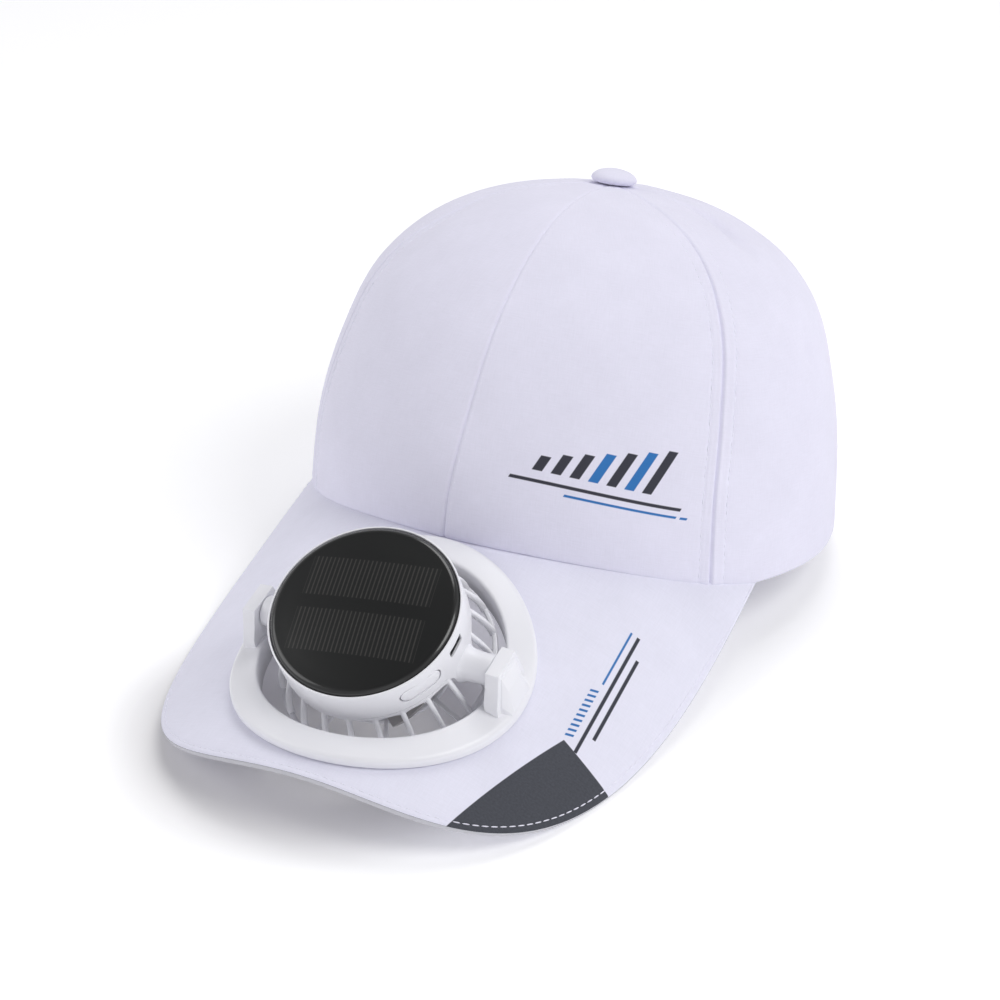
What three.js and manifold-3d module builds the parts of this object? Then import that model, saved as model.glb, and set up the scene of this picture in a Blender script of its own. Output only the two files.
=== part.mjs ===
// A solar fan hat: a six-panel cap whose peak carries a tilting fan with a solar disc on top.
// Millimetres, +Z up. The wearer faces -Y, and the wearer's left is +X.
// The cap is drawn in its own frame, with the base plane of its rim level at z = 0. It then leans
// back until it rests on the peak's two front corners and on the rear rim, as it would by itself.
import * as THREE from 'three';
import { mergeVertices } from 'three/addons/utils/BufferGeometryUtils.js';
import Module from 'manifold-3d';

const wasm = await Module();
wasm.setup();

const rad = THREE.MathUtils.degToRad;

// Gaps between pieces
const PIECE_GAP = 0.3;
const CLOTH_GAP = 0.35;

// Crown
const CROWN_HALF_WIDTH = 93;
const CROWN_FRONT = 96;
const CROWN_BACK = 96;
const CROWN_HEIGHT = 110;
const CROWN_WALL = 1.6;
const CROWN_PLAN_POWER = 1.86;
const APEX_SHIFT = 14;
const APEX_LEAN = rad(7.4);
const APEX_HOLE_RADIUS = 2.6;

// The crown's outline, from the rim to the apex. Heights are shares of CROWN_HEIGHT, and the
// reaches are shares of CROWN_FRONT, CROWN_HALF_WIDTH and CROWN_BACK.
const CROWN_ROWS = [
  { height: 0, front: 1, side: 1.01, back: 1.035 },
  { height: 0.27, front: 1.045, side: 0.98, back: 0.995 },
  { height: 0.49, front: 0.975, side: 0.925, back: 0.945 },
  { height: 0.7, front: 0.85, side: 0.825, back: 0.86 },
  { height: 0.862, front: 0.64, side: 0.63, back: 0.72 },
  { height: 0.964, front: 0.37, side: 0.35, back: 0.43 },
  { height: 1, front: 0, side: 0, back: 0 },
];

// Where the seams run, as azimuths from the front. Each swings by the given angle up to the apex.
const FRONT_SEAM = { azimuth: 0, swing: 0 };
const SIDE_SEAM = { azimuth: rad(53.6), swing: rad(6.3) };
const REAR_SEAM = { azimuth: rad(118), swing: rad(2) };
const BACK_SEAM = { azimuth: rad(180), swing: 0 };

// Soft creases and dents. Azimuths are from the front towards the wearer's left, rows count from
// 0 at the rim to 1 at the apex, turns are from the level line, and lengths, widths and depths
// are shares of CROWN_HEIGHT. CROWN_RUN is the length from rim to apex, as such a share too.
const CROWN_RUN = 1.4;
const CROWN_DENTS = [
  { azimuth: rad(92), row: 0.76, turn: rad(52), length: 0.3, width: 0.045, depth: 0.016 },
  { azimuth: rad(86), row: 0.43, turn: rad(-38), length: 0.12, width: 0.04, depth: 0.012 },
  { azimuth: rad(-55), row: 0.69, turn: rad(20), length: 0.22, width: 0.12, depth: 0.014 },
  { azimuth: rad(-95), row: 0.55, turn: rad(-48), length: 0.26, width: 0.06, depth: 0.014 },
  { azimuth: rad(150), row: 0.5, turn: rad(60), length: 0.3, width: 0.07, depth: 0.015 },
];

// Arch at the back, and the strap across it
const ARCH_HALF_WIDTH = 38;
const ARCH_HEIGHT = 43;
const STRAP_WIDTH = 20;
const STRAP_THICKNESS = 1.5;
const STRAP_LIFT = 2;
const STRAP_LAP = 14;
const STRAP_SPREAD = 1.19;
const STRAP_STEPS = 16;

// Covered button at the apex
const BUTTON_RADIUS = 7.9;
const BUTTON_HEIGHT = 5.2;
const BUTTON_SHANK_RADIUS = 1.7;
const BUTTON_SHANK_LENGTH = 3.2;

// The button's side from its foot to its top, as shares of its radius and height.
const BUTTON_PROFILE = [
  { reach: 0.86, rise: 0 },
  { reach: 1, rise: 0.22 },
  { reach: 0.95, rise: 0.5 },
  { reach: 0.76, rise: 0.78 },
  { reach: 0.42, rise: 0.95 },
  { reach: 0, rise: 1 },
];

// Brim
const BRIM_THICKNESS = 3;
const BRIM_DEPTH = 102.3;
const BRIM_SLOPE = rad(23.5);
const BRIM_JOINT_HEIGHT = 15.4;
const BRIM_ARCH_RADIUS = 98;
const BRIM_ARCH_TIGHTENING = 0.078;
const BRIM_OUTLINE_BACK = 78.7;
const BRIM_OUTLINE_POWER = 3.6;
const BRIM_TAPER = 0.045;
const BRIM_END = rad(66);
const BRIM_END_PROUD = -0.6;
const BRIM_END_FADE = rad(13);
const BRIM_TUCK = 1.4;
const BRIM_EDGE_ROUND = 0.8;

// Fan mount on the brim
const MOUNT_SETBACK = 49.3;
const MOUNT_INNER_RADIUS = 38.1;
const MOUNT_OUTER_RADIUS = 47.3;
const FLANGE_THICKNESS = 3.2;
const FLANGE_ROUND = 1.3;
const SLEEVE_WALL = 1.6;
const CLAMP_THICKNESS = 2.4;
const CLAMP_OUTER_RADIUS = 46;

// Bracket posts and axle
const AXLE_RISE = 3;
const BARREL_RADIUS = 4.8;
const JOURNAL_RADIUS = 2.6;
const JOURNAL_LENGTH = 3;
const JOURNAL_CLEARANCE = 0.3;
const POST_INNER_REACH = 39.3;
const POST_THICKNESS = 6.8;
const POST_HALF_LENGTH = 9.5;
const POST_TOP_HALF_LENGTH = 5.9;
const POST_CAP_HEIGHT = 5.8;
const POST_SINK = 1.5;
const POST_KNEE = 0.55;
const POST_SHIN = 0.22;

// Sections of a post, from its inner face outwards: how far out they lie as shares of
// POST_THICKNESS, and their half-lengths and rise above the flange as shares of the post's own.
const POST_SECTIONS = [
  { out: 0, foot: 1, top: 1, rise: 1 },
  { out: 0.6, foot: 1, top: 0.95, rise: 0.96 },
  { out: 1, foot: 0.84, top: 0.85, rise: 0.5 },
];

// Fan head, about the axle, with its own z along the disc's axis
const HEAD_TILT = rad(13.9);
const HOUSING_RADIUS = 29.9;
const HOUSING_WALL = 1.8;
const HOUSING_BOTTOM = 5;
const HOUSING_TOP = 17.3;
const LID_THICKNESS = 1.5;
const LIP_WIDTH = 0.6;
const LIP_HEIGHT = 1.7;
const LUG_WIDTH = 12;
const LUG_DROP = 6;
const PANEL_THICKNESS = 1.6;
const PANEL_DOME = 2;
const PANEL_ROUND = 0.7;

// The solar disc's dome from its edge to its middle, as shares of its radius and PANEL_DOME.
const PANEL_PROFILE = [
  { reach: 0.9, rise: 0.55 },
  { reach: 0.6, rise: 0.85 },
  { reach: 0, rise: 1 },
];

// Cage below the housing
const CAGE_RING_HEIGHT = 1.5;
const CAGE_RIM_RADIUS = 34.4;
const CAGE_RIM_WIDTH = 1.6;
const CAGE_RIM_BOTTOM = -14;
const CAGE_RIM_HEIGHT = 2.4;
const RIB_COUNT = 22;
const RIB_WIDTH = 1.5;
const RIB_DEPTH = 2.2;
const GUARD_THICKNESS = 1.4;
const GUARD_HUB_RADIUS = 7;
const GUARD_SPOKES = 8;
const GUARD_SPOKE_WIDTH = 1.4;
const GUARD_RING_RADIUS = 20;
const GUARD_RING_WIDTH = 1.4;

// Motor and impeller
const MOTOR_RADIUS = 9;
const MOTOR_BOTTOM = 1;
const SHAFT_RADIUS = 1.25;
const SHAFT_LENGTH = 6.5;
const SHAFT_CLEARANCE = 0.3;
const HUB_RADIUS = 11;
const HUB_HEIGHT = 10.4;
const HUB_ROUND = 1.4;
const BLADE_COUNT = 6;
const BLADE_TIP_CLEARANCE = 1.3;
const BLADE_THICKNESS = 1.1;
const BLADE_SPAN = rad(30);
const BLADE_MARGIN = 1;
const BLADE_SWEEP = rad(14);
const BLADE_TIP_SPAN = 0.9;
const BLADE_TIP_PITCH = 0.75;

// Charging port and power button in the housing's side
const PORT_RISE = 12.2;
const PORT_AZIMUTH = rad(88);
const PORT_LENGTH = 7.2;
const PORT_HEIGHT = 2.8;
const PORT_DEPTH = 5;
const PORT_WALL = 0.6;
const PORT_SETBACK = 0.5;
const BUTTON_RISE = 11;
const BUTTON_AZIMUTH = rad(57);
const BUTTON_LENGTH = 14;
const BUTTON_WIDTH = 4.8;
const BUTTON_CLEARANCE = 0.3;
const BUTTON_DEPTH = 2.6;

// How finely the faceted pieces are cut
const PANEL_COLUMNS = 9;
const PANEL_ROWS = 12;
const BRIM_COLUMNS = 36;
const BRIM_ROWS = 6;
const ROUND_SIDES = 40;
const SMALL_SIDES = 24;
const PIN_SIDES = 16;
const PILL_SIDES = 6;
const RIB_STEPS = 2;
const BLADE_STEPS = 3;
const HALVINGS = 40;
const WELD = 1e-4;
const NUDGE = 0.001;

// Materials
const finish = (color, roughness, metalness = 0) =>
  new THREE.MeshStandardMaterial({ color, roughness, metalness });
const CLOTH = finish(0xe6e5f0, 0.9);
const BRIM_CLOTH = finish(0xeceefa, 0.9);
const WHITE_PLASTIC = finish(0xe9e8ec, 0.45);
const BLACK_GLOSS = finish(0x0b0b0c, 0.12);
const GREY_PLASTIC = finish(0xb9b8bc, 0.5);
const METAL = finish(0xb4b6ba, 0.3, 0.9);

// Turns closed, indexed triangles into a solid, with its faces pointing out.
function solidFrom(positions, triangles) {
  const geometry = new THREE.BufferGeometry();
  geometry.setAttribute('position', new THREE.Float32BufferAttribute(positions, 3));
  geometry.setIndex(triangles);
  const merged = mergeVertices(geometry, WELD);
  const points = merged.attributes.position.array;
  const index = merged.index.array;
  const kept = [];
  let volume = 0;
  const a = new THREE.Vector3();
  const b = new THREE.Vector3();
  const c = new THREE.Vector3();
  for (let i = 0; i < index.length; i += 3) {
    const [p, q, r] = [index[i], index[i + 1], index[i + 2]];
    if (p === q || q === r || r === p) {
      continue;
    }
    kept.push(p, q, r);
    volume += a.fromArray(points, 3 * p).dot(b.fromArray(points, 3 * q).cross(c.fromArray(points, 3 * r)));
  }
  const triVerts = new Uint32Array(kept);
  if (volume < 0) {
    triVerts.reverse();
  }
  return new wasm.Manifold(new wasm.Mesh({ numProp: 3, vertProperties: new Float32Array(points), triVerts }));
}

// A three.js geometry as a solid, placed by an optional matrix.
function solidOf(geometry, matrix = new THREE.Matrix4()) {
  const bare = geometry.clone().applyMatrix4(matrix);
  bare.deleteAttribute('normal');
  bare.deleteAttribute('uv');
  const merged = mergeVertices(bare, WELD);
  return solidFrom(Array.from(merged.attributes.position.array), Array.from(merged.index.array));
}

// Turns a solid into a named mesh.
function meshOf(name, solid, material) {
  const { vertProperties, triVerts } = solid.getMesh();
  const geometry = new THREE.BufferGeometry();
  geometry.setAttribute('position', new THREE.BufferAttribute(vertProperties, 3));
  geometry.setIndex(new THREE.BufferAttribute(triVerts, 1));
  geometry.computeVertexNormals();
  const mesh = new THREE.Mesh(geometry, material);
  mesh.name = name;
  return mesh;
}

// Joins closed sections, each a loop of the same even number of points. The first half of a loop
// runs along one side and the second half runs back along the other, so the ends close in strips.
function loft(sections, closed = false) {
  const size = sections[0].length;
  const positions = sections.flat().flatMap((point) => point.toArray());
  const triangles = [];
  const quad = (a, b, c, d) => triangles.push(a, b, c, a, c, d);
  const spans = closed ? sections.length : sections.length - 1;
  for (let k = 0; k < spans; k += 1) {
    const here = k * size;
    const next = ((k + 1) % sections.length) * size;
    for (let m = 0; m < size; m += 1) {
      const n = (m + 1) % size;
      quad(here + m, here + n, next + n, next + m);
    }
  }
  if (!closed) {
    const last = (sections.length - 1) * size;
    for (let m = 0; m < size / 2 - 1; m += 1) {
      quad(m + 1, m, size - 1 - m, size - 2 - m);
      quad(last + m, last + m + 1, last + size - 2 - m, last + size - 1 - m);
    }
  }
  return solidFrom(positions, triangles);
}

// A solid turned about Z from rows of radius and height.
function turned(rows, sides) {
  const profile = rows.map(([radius, height]) => new THREE.Vector2(radius, height));
  return solidOf(new THREE.LatheGeometry(profile, sides).rotateX(Math.PI / 2));
}

// A ring turned about Z, whose profile closes on itself.
function turnedRing(rows, sides) {
  return turned([...rows, rows[0]], sides);
}

function block(width, depth, height, x, y, z) {
  return solidOf(new THREE.BoxGeometry(width, depth, height).translate(x, y, z));
}

// The value between low and high at which a rising function passes zero.
function crossing(rising, low, high) {
  let [under, over] = [low, high];
  for (let i = 0; i < HALVINGS; i += 1) {
    const middle = (under + over) / 2;
    if (rising(middle) < 0) {
      under = middle;
    } else {
      over = middle;
    }
  }
  return (under + over) / 2;
}

// Crown surface

function profileCurve(column) {
  const rising = CROWN_ROWS.map((row) => new THREE.Vector2(row[column], row.height));
  const falling = rising.slice(0, -1).reverse().map((point) => new THREE.Vector2(-point.x, point.y));
  return new THREE.SplineCurve([...rising, ...falling]);
}

const PROFILES = {
  front: profileCurve('front'),
  side: profileCurve('side'),
  back: profileCurve('back'),
};

// How far a rounded outline swells past its ellipse in a direction.
function planSwell(across, along, power) {
  return (Math.abs(across) ** power + Math.abs(along) ** power) ** (-1 / power);
}

// The crown's smooth outer form at an azimuth from the front and a row from 0, rim, to 1, apex.
function crownForm(azimuth, row) {
  const share = THREE.MathUtils.clamp(row, 0, 1.01) / 2;
  const [across, along] = [Math.sin(azimuth), Math.cos(azimuth)];
  const ahead = PROFILES.front.getPoint(share);
  const behind = PROFILES.back.getPoint(share);
  const reach = along > 0 ? ahead.x * CROWN_FRONT : behind.x * CROWN_BACK;
  const half = PROFILES.side.getPoint(share).x * CROWN_HALF_WIDTH;
  const swell = planSwell(across, along, CROWN_PLAN_POWER);
  const y = -reach * swell * along;
  const lean = APEX_LEAN * ahead.y ** 2;
  return new THREE.Vector3(
    half * swell * across,
    y * Math.cos(lean) + APEX_SHIFT * ahead.y ** 2,
    ahead.y * CROWN_HEIGHT - y * Math.sin(lean),
  );
}

function crownNormal(azimuth, row) {
  const low = Math.max(row - NUDGE, 0);
  const across = crownForm(azimuth + NUDGE, row).sub(crownForm(azimuth - NUDGE, row));
  const up = crownForm(azimuth, low + 2 * NUDGE).sub(crownForm(azimuth, low));
  return across.cross(up).normalize();
}

// How far the dents pull the cloth in at a place on the crown.
function dentDepth(azimuth, row) {
  let depth = 0;
  for (const dent of CROWN_DENTS) {
    const turn = Math.atan2(Math.sin(azimuth - dent.azimuth), Math.cos(azimuth - dent.azimuth));
    const across = (turn * CROWN_HALF_WIDTH) / CROWN_HEIGHT;
    const up = (row - dent.row) * CROWN_RUN;
    const along = across * Math.cos(dent.turn) + up * Math.sin(dent.turn);
    const aside = up * Math.cos(dent.turn) - across * Math.sin(dent.turn);
    const fall = (along / dent.length) ** 2 * 4 + (aside / dent.width) ** 2;
    depth += dent.depth * CROWN_HEIGHT * Math.exp(-fall);
  }
  return depth;
}

// A point of the crown's cloth, a depth below its outer face.
function crownPoint(azimuth, row, depth = 0) {
  const inward = depth + dentDepth(azimuth, row);
  return crownForm(azimuth, row).addScaledVector(crownNormal(azimuth, row), -inward);
}

// Brim surface

// How far the arch has dropped at a distance from the middle line, square to the slope.
function archDrop(x) {
  return (x ** 2 / (2 * BRIM_ARCH_RADIUS)) * (1 + BRIM_ARCH_TIGHTENING * (x / BRIM_ARCH_RADIUS) ** 2);
}

const JOINT_ROW = crossing((row) => crownPoint(0, row).z - BRIM_JOINT_HEIGHT, 0, 0.5);
const JOINT = new THREE.Vector3(0, crownPoint(0, JOINT_ROW).y, BRIM_JOINT_HEIGHT);
const DOWN_SLOPE = new THREE.Vector3(0, -Math.cos(BRIM_SLOPE), -Math.sin(BRIM_SLOPE));
const OFF_SLOPE = new THREE.Vector3(0, -Math.sin(BRIM_SLOPE), Math.cos(BRIM_SLOPE));

// The angle at which the arch falls away to the side.
function archFall(x) {
  return Math.atan((archDrop(x + NUDGE) - archDrop(x - NUDGE)) / (2 * NUDGE));
}

// A point on the brim: x across, ahead down the slope from the joint, and rise off its top face.
function brimPoint(x, ahead, rise = 0) {
  const fall = archFall(x);
  return JOINT.clone()
    .addScaledVector(DOWN_SLOPE, ahead)
    .addScaledVector(OFF_SLOPE, rise * Math.cos(fall) - archDrop(x))
    .setX(x + rise * Math.sin(fall));
}

// Height of the brim's top face above a place on the base plane.
function brimTop(x, y) {
  return JOINT.z + (y - JOINT.y) * Math.tan(BRIM_SLOPE) - archDrop(x) / Math.cos(BRIM_SLOPE);
}

// How far down the slope a place on the base plane lies.
function brimAhead(x, y) {
  return (JOINT.y - y + archDrop(x) * Math.sin(BRIM_SLOPE)) / Math.cos(BRIM_SLOPE);
}

// Lower edge of the crown: it stands on the brim in front, and lies in the base plane behind it.
function rimHeight(azimuth, point) {
  const turn = Math.abs(Math.atan2(Math.sin(azimuth), Math.cos(azimuth)));
  const over = 1 - THREE.MathUtils.smoothstep(turn, BRIM_END, BRIM_END + BRIM_END_FADE);
  return over * Math.max(brimTop(point.x, point.y) + CLOTH_GAP, 0);
}

function rimRow(azimuthAt, depth) {
  const clear = (row) => {
    const azimuth = azimuthAt(row);
    const point = crownPoint(azimuth, row, depth);
    return point.z - rimHeight(azimuth, point);
  };
  return clear(0) >= 0 ? 0 : crossing(clear, 0, 0.5);
}

// Six crown panels

function seamAzimuth(seam, row) {
  return seam.azimuth + seam.swing * row ** 1.75;
}

const APEX = crownForm(0, 1);

// Cloth from a rim to the apex hole along one column, as a loop: up outside and down inside.
function panelSection(azimuthAt) {
  const fromApex = (row) => crownForm(azimuthAt(row), row).setZ(0).distanceTo(APEX.clone().setZ(0));
  const top = crossing((row) => APEX_HOLE_RADIUS - fromApex(row), 0.9, 1);
  const side = (depth) => {
    const low = rimRow(azimuthAt, depth);
    return Array.from({ length: PANEL_ROWS + 1 }, (_, j) => {
      const row = low + ((top - low) * j) / PANEL_ROWS;
      const azimuth = azimuthAt(row);
      const point = crownPoint(azimuth, row, depth);
      return j === 0 ? point.setZ(rimHeight(azimuth, point)) : point;
    });
  };
  return [...side(0), ...side(CROWN_WALL).reverse()];
}

function crownPanel(from, to) {
  const inset = (azimuth, row) => {
    const ahead = crownForm(azimuth + NUDGE, row).distanceTo(crownForm(azimuth - NUDGE, row));
    return (PIECE_GAP * NUDGE) / ahead;
  };
  const sections = [];
  for (let i = 0; i <= PANEL_COLUMNS; i += 1) {
    const share = i / PANEL_COLUMNS;
    sections.push(panelSection((row) => {
      const first = seamAzimuth(from, row);
      const last = seamAzimuth(to, row);
      return THREE.MathUtils.lerp(first + inset(first, row), last - inset(last, row), share);
    }));
  }
  return loft(sections);
}

// The arch over the strap, as a solid to cut from the back panels.
function backArch() {
  const radius = ARCH_HALF_WIDTH;
  const tunnel = new THREE.CylinderGeometry(radius, radius, CROWN_BACK, ROUND_SIDES);
  tunnel.scale(1, 1, ARCH_HEIGHT / radius).translate(0, CROWN_BACK, 0);
  return solidOf(tunnel);
}

function mirrored(solid) {
  return solid.mirror([1, 0, 0]);
}

// Strap across the arch

// The strap lies against the inside of the back panels and runs on past the arch at both ends.
function adjusterStrap() {
  const half = Math.atan((ARCH_HALF_WIDTH + STRAP_LAP) / CROWN_BACK) * STRAP_SPREAD;
  const outside = CROWN_WALL + CLOTH_GAP;
  const at = (azimuth, height, depth) => {
    const row = crossing((r) => crownPoint(azimuth, r, depth).z - height, 0, 0.6);
    return crownPoint(azimuth, row, depth);
  };
  const sections = [];
  for (let i = 0; i <= STRAP_STEPS; i += 1) {
    const azimuth = Math.PI - half + (2 * half * i) / STRAP_STEPS;
    sections.push([
      at(azimuth, STRAP_LIFT, outside),
      at(azimuth, STRAP_LIFT + STRAP_WIDTH, outside),
      at(azimuth, STRAP_LIFT + STRAP_WIDTH, outside + STRAP_THICKNESS),
      at(azimuth, STRAP_LIFT, outside + STRAP_THICKNESS),
    ]);
  }
  return loft(sections);
}

// Covered button

function crownButton() {
  return turned([
    [0, -BUTTON_SHANK_LENGTH],
    [BUTTON_SHANK_RADIUS, -BUTTON_SHANK_LENGTH],
    [BUTTON_SHANK_RADIUS, 0],
    ...BUTTON_PROFILE.map((row) => [row.reach * BUTTON_RADIUS, row.rise * BUTTON_HEIGHT]),
  ], SMALL_SIDES);
}

// Brim

// The brim's outer outline at a turn from -1, wearer's right, to 1, wearer's left.
function brimOutline(turn, sweep, halfWidth) {
  const angle = turn * sweep;
  const [across, along] = [Math.sin(angle), Math.cos(angle)];
  const swell = planSwell(across, along, BRIM_OUTLINE_POWER);
  const share = swell * along;
  return {
    x: halfWidth * swell * across * (1 - BRIM_TAPER * (1 - share)),
    ahead: (BRIM_DEPTH + BRIM_OUTLINE_BACK) * share - BRIM_OUTLINE_BACK,
  };
}

function brimBase(turn, depth) {
  const azimuth = turn * BRIM_END;
  const point = crownPoint(azimuth, rimRow(() => azimuth, depth), depth);
  return { x: point.x, ahead: brimAhead(point.x, point.y) };
}

// The outline's end lies just outside the crown, at the same place along the slope.
const BRIM_CORNER = brimBase(1, 0);
const BRIM_SWEEP = crossing(
  (angle) => BRIM_CORNER.ahead - brimOutline(1, angle, 1).ahead,
  0,
  Math.PI / 2 - NUDGE,
);
const BRIM_HALF_WIDTH = (BRIM_CORNER.x + BRIM_END_PROUD) / brimOutline(1, BRIM_SWEEP, 1).x;

// The brim's edge at a turn, in millimetres across and down the slope.
function brimEdge(turn) {
  return brimOutline(turn, BRIM_SWEEP, BRIM_HALF_WIDTH);
}

function brimSection(turn) {
  const inner = brimBase(turn, CROWN_WALL + BRIM_TUCK);
  const outer = brimEdge(turn);
  const span = Math.hypot(outer.x - inner.x, outer.ahead - inner.ahead);
  const inset = Math.min(BRIM_EDGE_ROUND, span / 3) / span;
  const at = (share, rise) =>
    brimPoint(
      THREE.MathUtils.lerp(inner.x, outer.x, share),
      THREE.MathUtils.lerp(inner.ahead, outer.ahead, share),
      rise,
    );
  const shares = Array.from({ length: BRIM_ROWS + 1 }, (_, j) => ((1 - inset) * j) / BRIM_ROWS);
  return [
    ...shares.map((share) => at(share, 0)),
    at(1, -BRIM_EDGE_ROUND),
    at(1, BRIM_EDGE_ROUND - BRIM_THICKNESS),
    ...shares.reverse().map((share) => at(share, -BRIM_THICKNESS)),
  ];
}

const MOUNT_CENTRE = brimPoint(0, MOUNT_SETBACK);

// A cylinder square to the slope through the mount's centre.
function slopeCylinder(radius, length) {
  const geometry = new THREE.CylinderGeometry(radius, radius, length, ROUND_SIDES);
  const turn = new THREE.Quaternion().setFromUnitVectors(new THREE.Vector3(0, 1, 0), OFF_SLOPE);
  return solidOf(geometry, new THREE.Matrix4().compose(MOUNT_CENTRE, turn, new THREE.Vector3(1, 1, 1)));
}

function brim() {
  const sections = [];
  for (let i = 0; i <= BRIM_COLUMNS; i += 1) {
    sections.push(brimSection((2 * i) / BRIM_COLUMNS - 1));
  }
  const hole = slopeCylinder(MOUNT_INNER_RADIUS + SLEEVE_WALL + PIECE_GAP, CROWN_HEIGHT / 2);
  return loft(sections).subtract(hole);
}

// Fan mount

// A point at a turn and radius about the mount's centre, raised square to the slope from the brim
// and dropped through a skin of cloth, which measures more across the arch's fall.
function mountPoint(turn, radius, rise, skin = 0) {
  const [x, ahead] = [radius * Math.sin(turn), MOUNT_SETBACK + radius * Math.cos(turn)];
  return brimPoint(x, ahead).addScaledVector(OFF_SLOPE, rise - skin / Math.cos(archFall(x)));
}

function mountRing(rows) {
  const sections = [];
  for (let i = 0; i < ROUND_SIDES; i += 1) {
    const turn = (2 * Math.PI * i) / ROUND_SIDES;
    sections.push(rows.map((row) => mountPoint(turn, row.radius, row.rise, row.skin)));
  }
  return loft(sections, true);
}

const SLEEVE_DROP = PIECE_GAP + CLAMP_THICKNESS;
const FLANGE_TOP = CLOTH_GAP + FLANGE_THICKNESS;

function bracketPost() {
  const sections = POST_SECTIONS.map((section) => {
    const x = POST_INNER_REACH + section.out * POST_THICKNESS;
    const foot = POST_HALF_LENGTH * section.foot;
    const top = POST_TOP_HALF_LENGTH * section.top;
    const base = POST_SINK - archDrop(x);
    const flange = FLANGE_TOP - archDrop(x);
    const peak = THREE.MathUtils.lerp(flange, AXLE_RISE + POST_CAP_HEIGHT, section.rise);
    const at = (ahead, rise) =>
      JOINT.clone()
        .addScaledVector(DOWN_SLOPE, MOUNT_SETBACK + ahead)
        .addScaledVector(OFF_SLOPE, rise)
        .setX(x);
    const knee = THREE.MathUtils.lerp(flange, peak, POST_KNEE);
    const shin = THREE.MathUtils.lerp(flange, peak, POST_SHIN);
    return [
      at(-foot, base),
      at(-foot, shin),
      at(-(foot + top) / 2, knee),
      at(-top, peak),
      at(top, peak),
      at((foot + top) / 2, knee),
      at(foot, shin),
      at(foot, base),
    ];
  });
  return loft(sections);
}

const AXLE = MOUNT_CENTRE.clone().addScaledVector(OFF_SLOPE, AXLE_RISE);

// A round bar along X, from a start to an end, about a centre in the Y-Z plane.
function crossBar(radius, start, end, centre) {
  const geometry = new THREE.CylinderGeometry(radius, radius, end - start, PIN_SIDES);
  return solidOf(geometry.rotateZ(Math.PI / 2).translate((start + end) / 2, centre.y, centre.z));
}

function fanMount() {
  const flange = mountRing([
    { radius: MOUNT_INNER_RADIUS, rise: -SLEEVE_DROP, skin: BRIM_THICKNESS },
    { radius: MOUNT_INNER_RADIUS + SLEEVE_WALL, rise: -SLEEVE_DROP, skin: BRIM_THICKNESS },
    { radius: MOUNT_INNER_RADIUS + SLEEVE_WALL, rise: CLOTH_GAP },
    { radius: MOUNT_OUTER_RADIUS, rise: CLOTH_GAP },
    { radius: MOUNT_OUTER_RADIUS, rise: FLANGE_TOP - FLANGE_ROUND },
    { radius: MOUNT_OUTER_RADIUS - FLANGE_ROUND, rise: FLANGE_TOP },
    { radius: MOUNT_INNER_RADIUS + FLANGE_ROUND / 2, rise: FLANGE_TOP },
    { radius: MOUNT_INNER_RADIUS, rise: FLANGE_TOP - FLANGE_ROUND / 2 },
  ]);
  const post = bracketPost();
  const socketEnd = POST_INNER_REACH + JOURNAL_LENGTH + JOURNAL_CLEARANCE;
  const reach = socketEnd + POST_THICKNESS;
  const bore = crossBar(JOURNAL_RADIUS + JOURNAL_CLEARANCE, socketEnd - reach, socketEnd, AXLE);
  const drilled = flange.add(post).subtract(bore);
  return drilled.add(mirrored(post.subtract(bore))).subtract(mirrored(bore));
}

function retainingRing() {
  const gap = PIECE_GAP;
  const inner = MOUNT_INNER_RADIUS + SLEEVE_WALL + gap;
  return mountRing([
    { radius: inner, rise: -gap - CLAMP_THICKNESS, skin: BRIM_THICKNESS },
    { radius: CLAMP_OUTER_RADIUS, rise: -gap - CLAMP_THICKNESS, skin: BRIM_THICKNESS },
    { radius: CLAMP_OUTER_RADIUS, rise: -gap, skin: BRIM_THICKNESS },
    { radius: inner, rise: -gap, skin: BRIM_THICKNESS },
  ]);
}

// Fan head, in its own frame about the axle

const LID_TOP = HOUSING_TOP - LIP_HEIGHT;
const LID_BOTTOM = LID_TOP - LID_THICKNESS;
const HOUSING_INNER = HOUSING_RADIUS - HOUSING_WALL;
const CENTRE = new THREE.Vector3();

// Where something in the housing's side lies, with its own z pointing out of the wall.
function sideFrame(azimuth, reach, rise) {
  const frame = new THREE.Matrix4().makeRotationZ(azimuth);
  frame.multiply(new THREE.Matrix4().makeTranslation(0, -reach, rise));
  return frame.multiply(new THREE.Matrix4().makeRotationX(Math.PI / 2));
}

// A bar with round ends, centred, whose length lies along X.
function pill(length, width, depth) {
  const half = (length - width) / 2;
  const outline = new THREE.Shape();
  outline.absarc(half, 0, width / 2, -Math.PI / 2, Math.PI / 2, false);
  outline.absarc(-half, 0, width / 2, Math.PI / 2, (3 * Math.PI) / 2, false);
  const settings = { depth, bevelEnabled: false, curveSegments: PILL_SIDES };
  return new THREE.ExtrudeGeometry(outline, settings).translate(0, 0, -depth / 2);
}

const PORT_FRAME = sideFrame(PORT_AZIMUTH, HOUSING_RADIUS, PORT_RISE);
const BUTTON_FRAME = sideFrame(BUTTON_AZIMUTH, HOUSING_RADIUS, BUTTON_RISE);

// The two lugs that carry the barrels, grown by a clearance.
function lugBlocks(clearance) {
  const [low, high] = [-LUG_DROP - clearance, HOUSING_BOTTOM + LID_THICKNESS];
  const width = LUG_WIDTH + 2 * clearance;
  return block(4 * HOUSING_RADIUS, width, high - low, 0, 0, (high + low) / 2);
}

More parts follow.
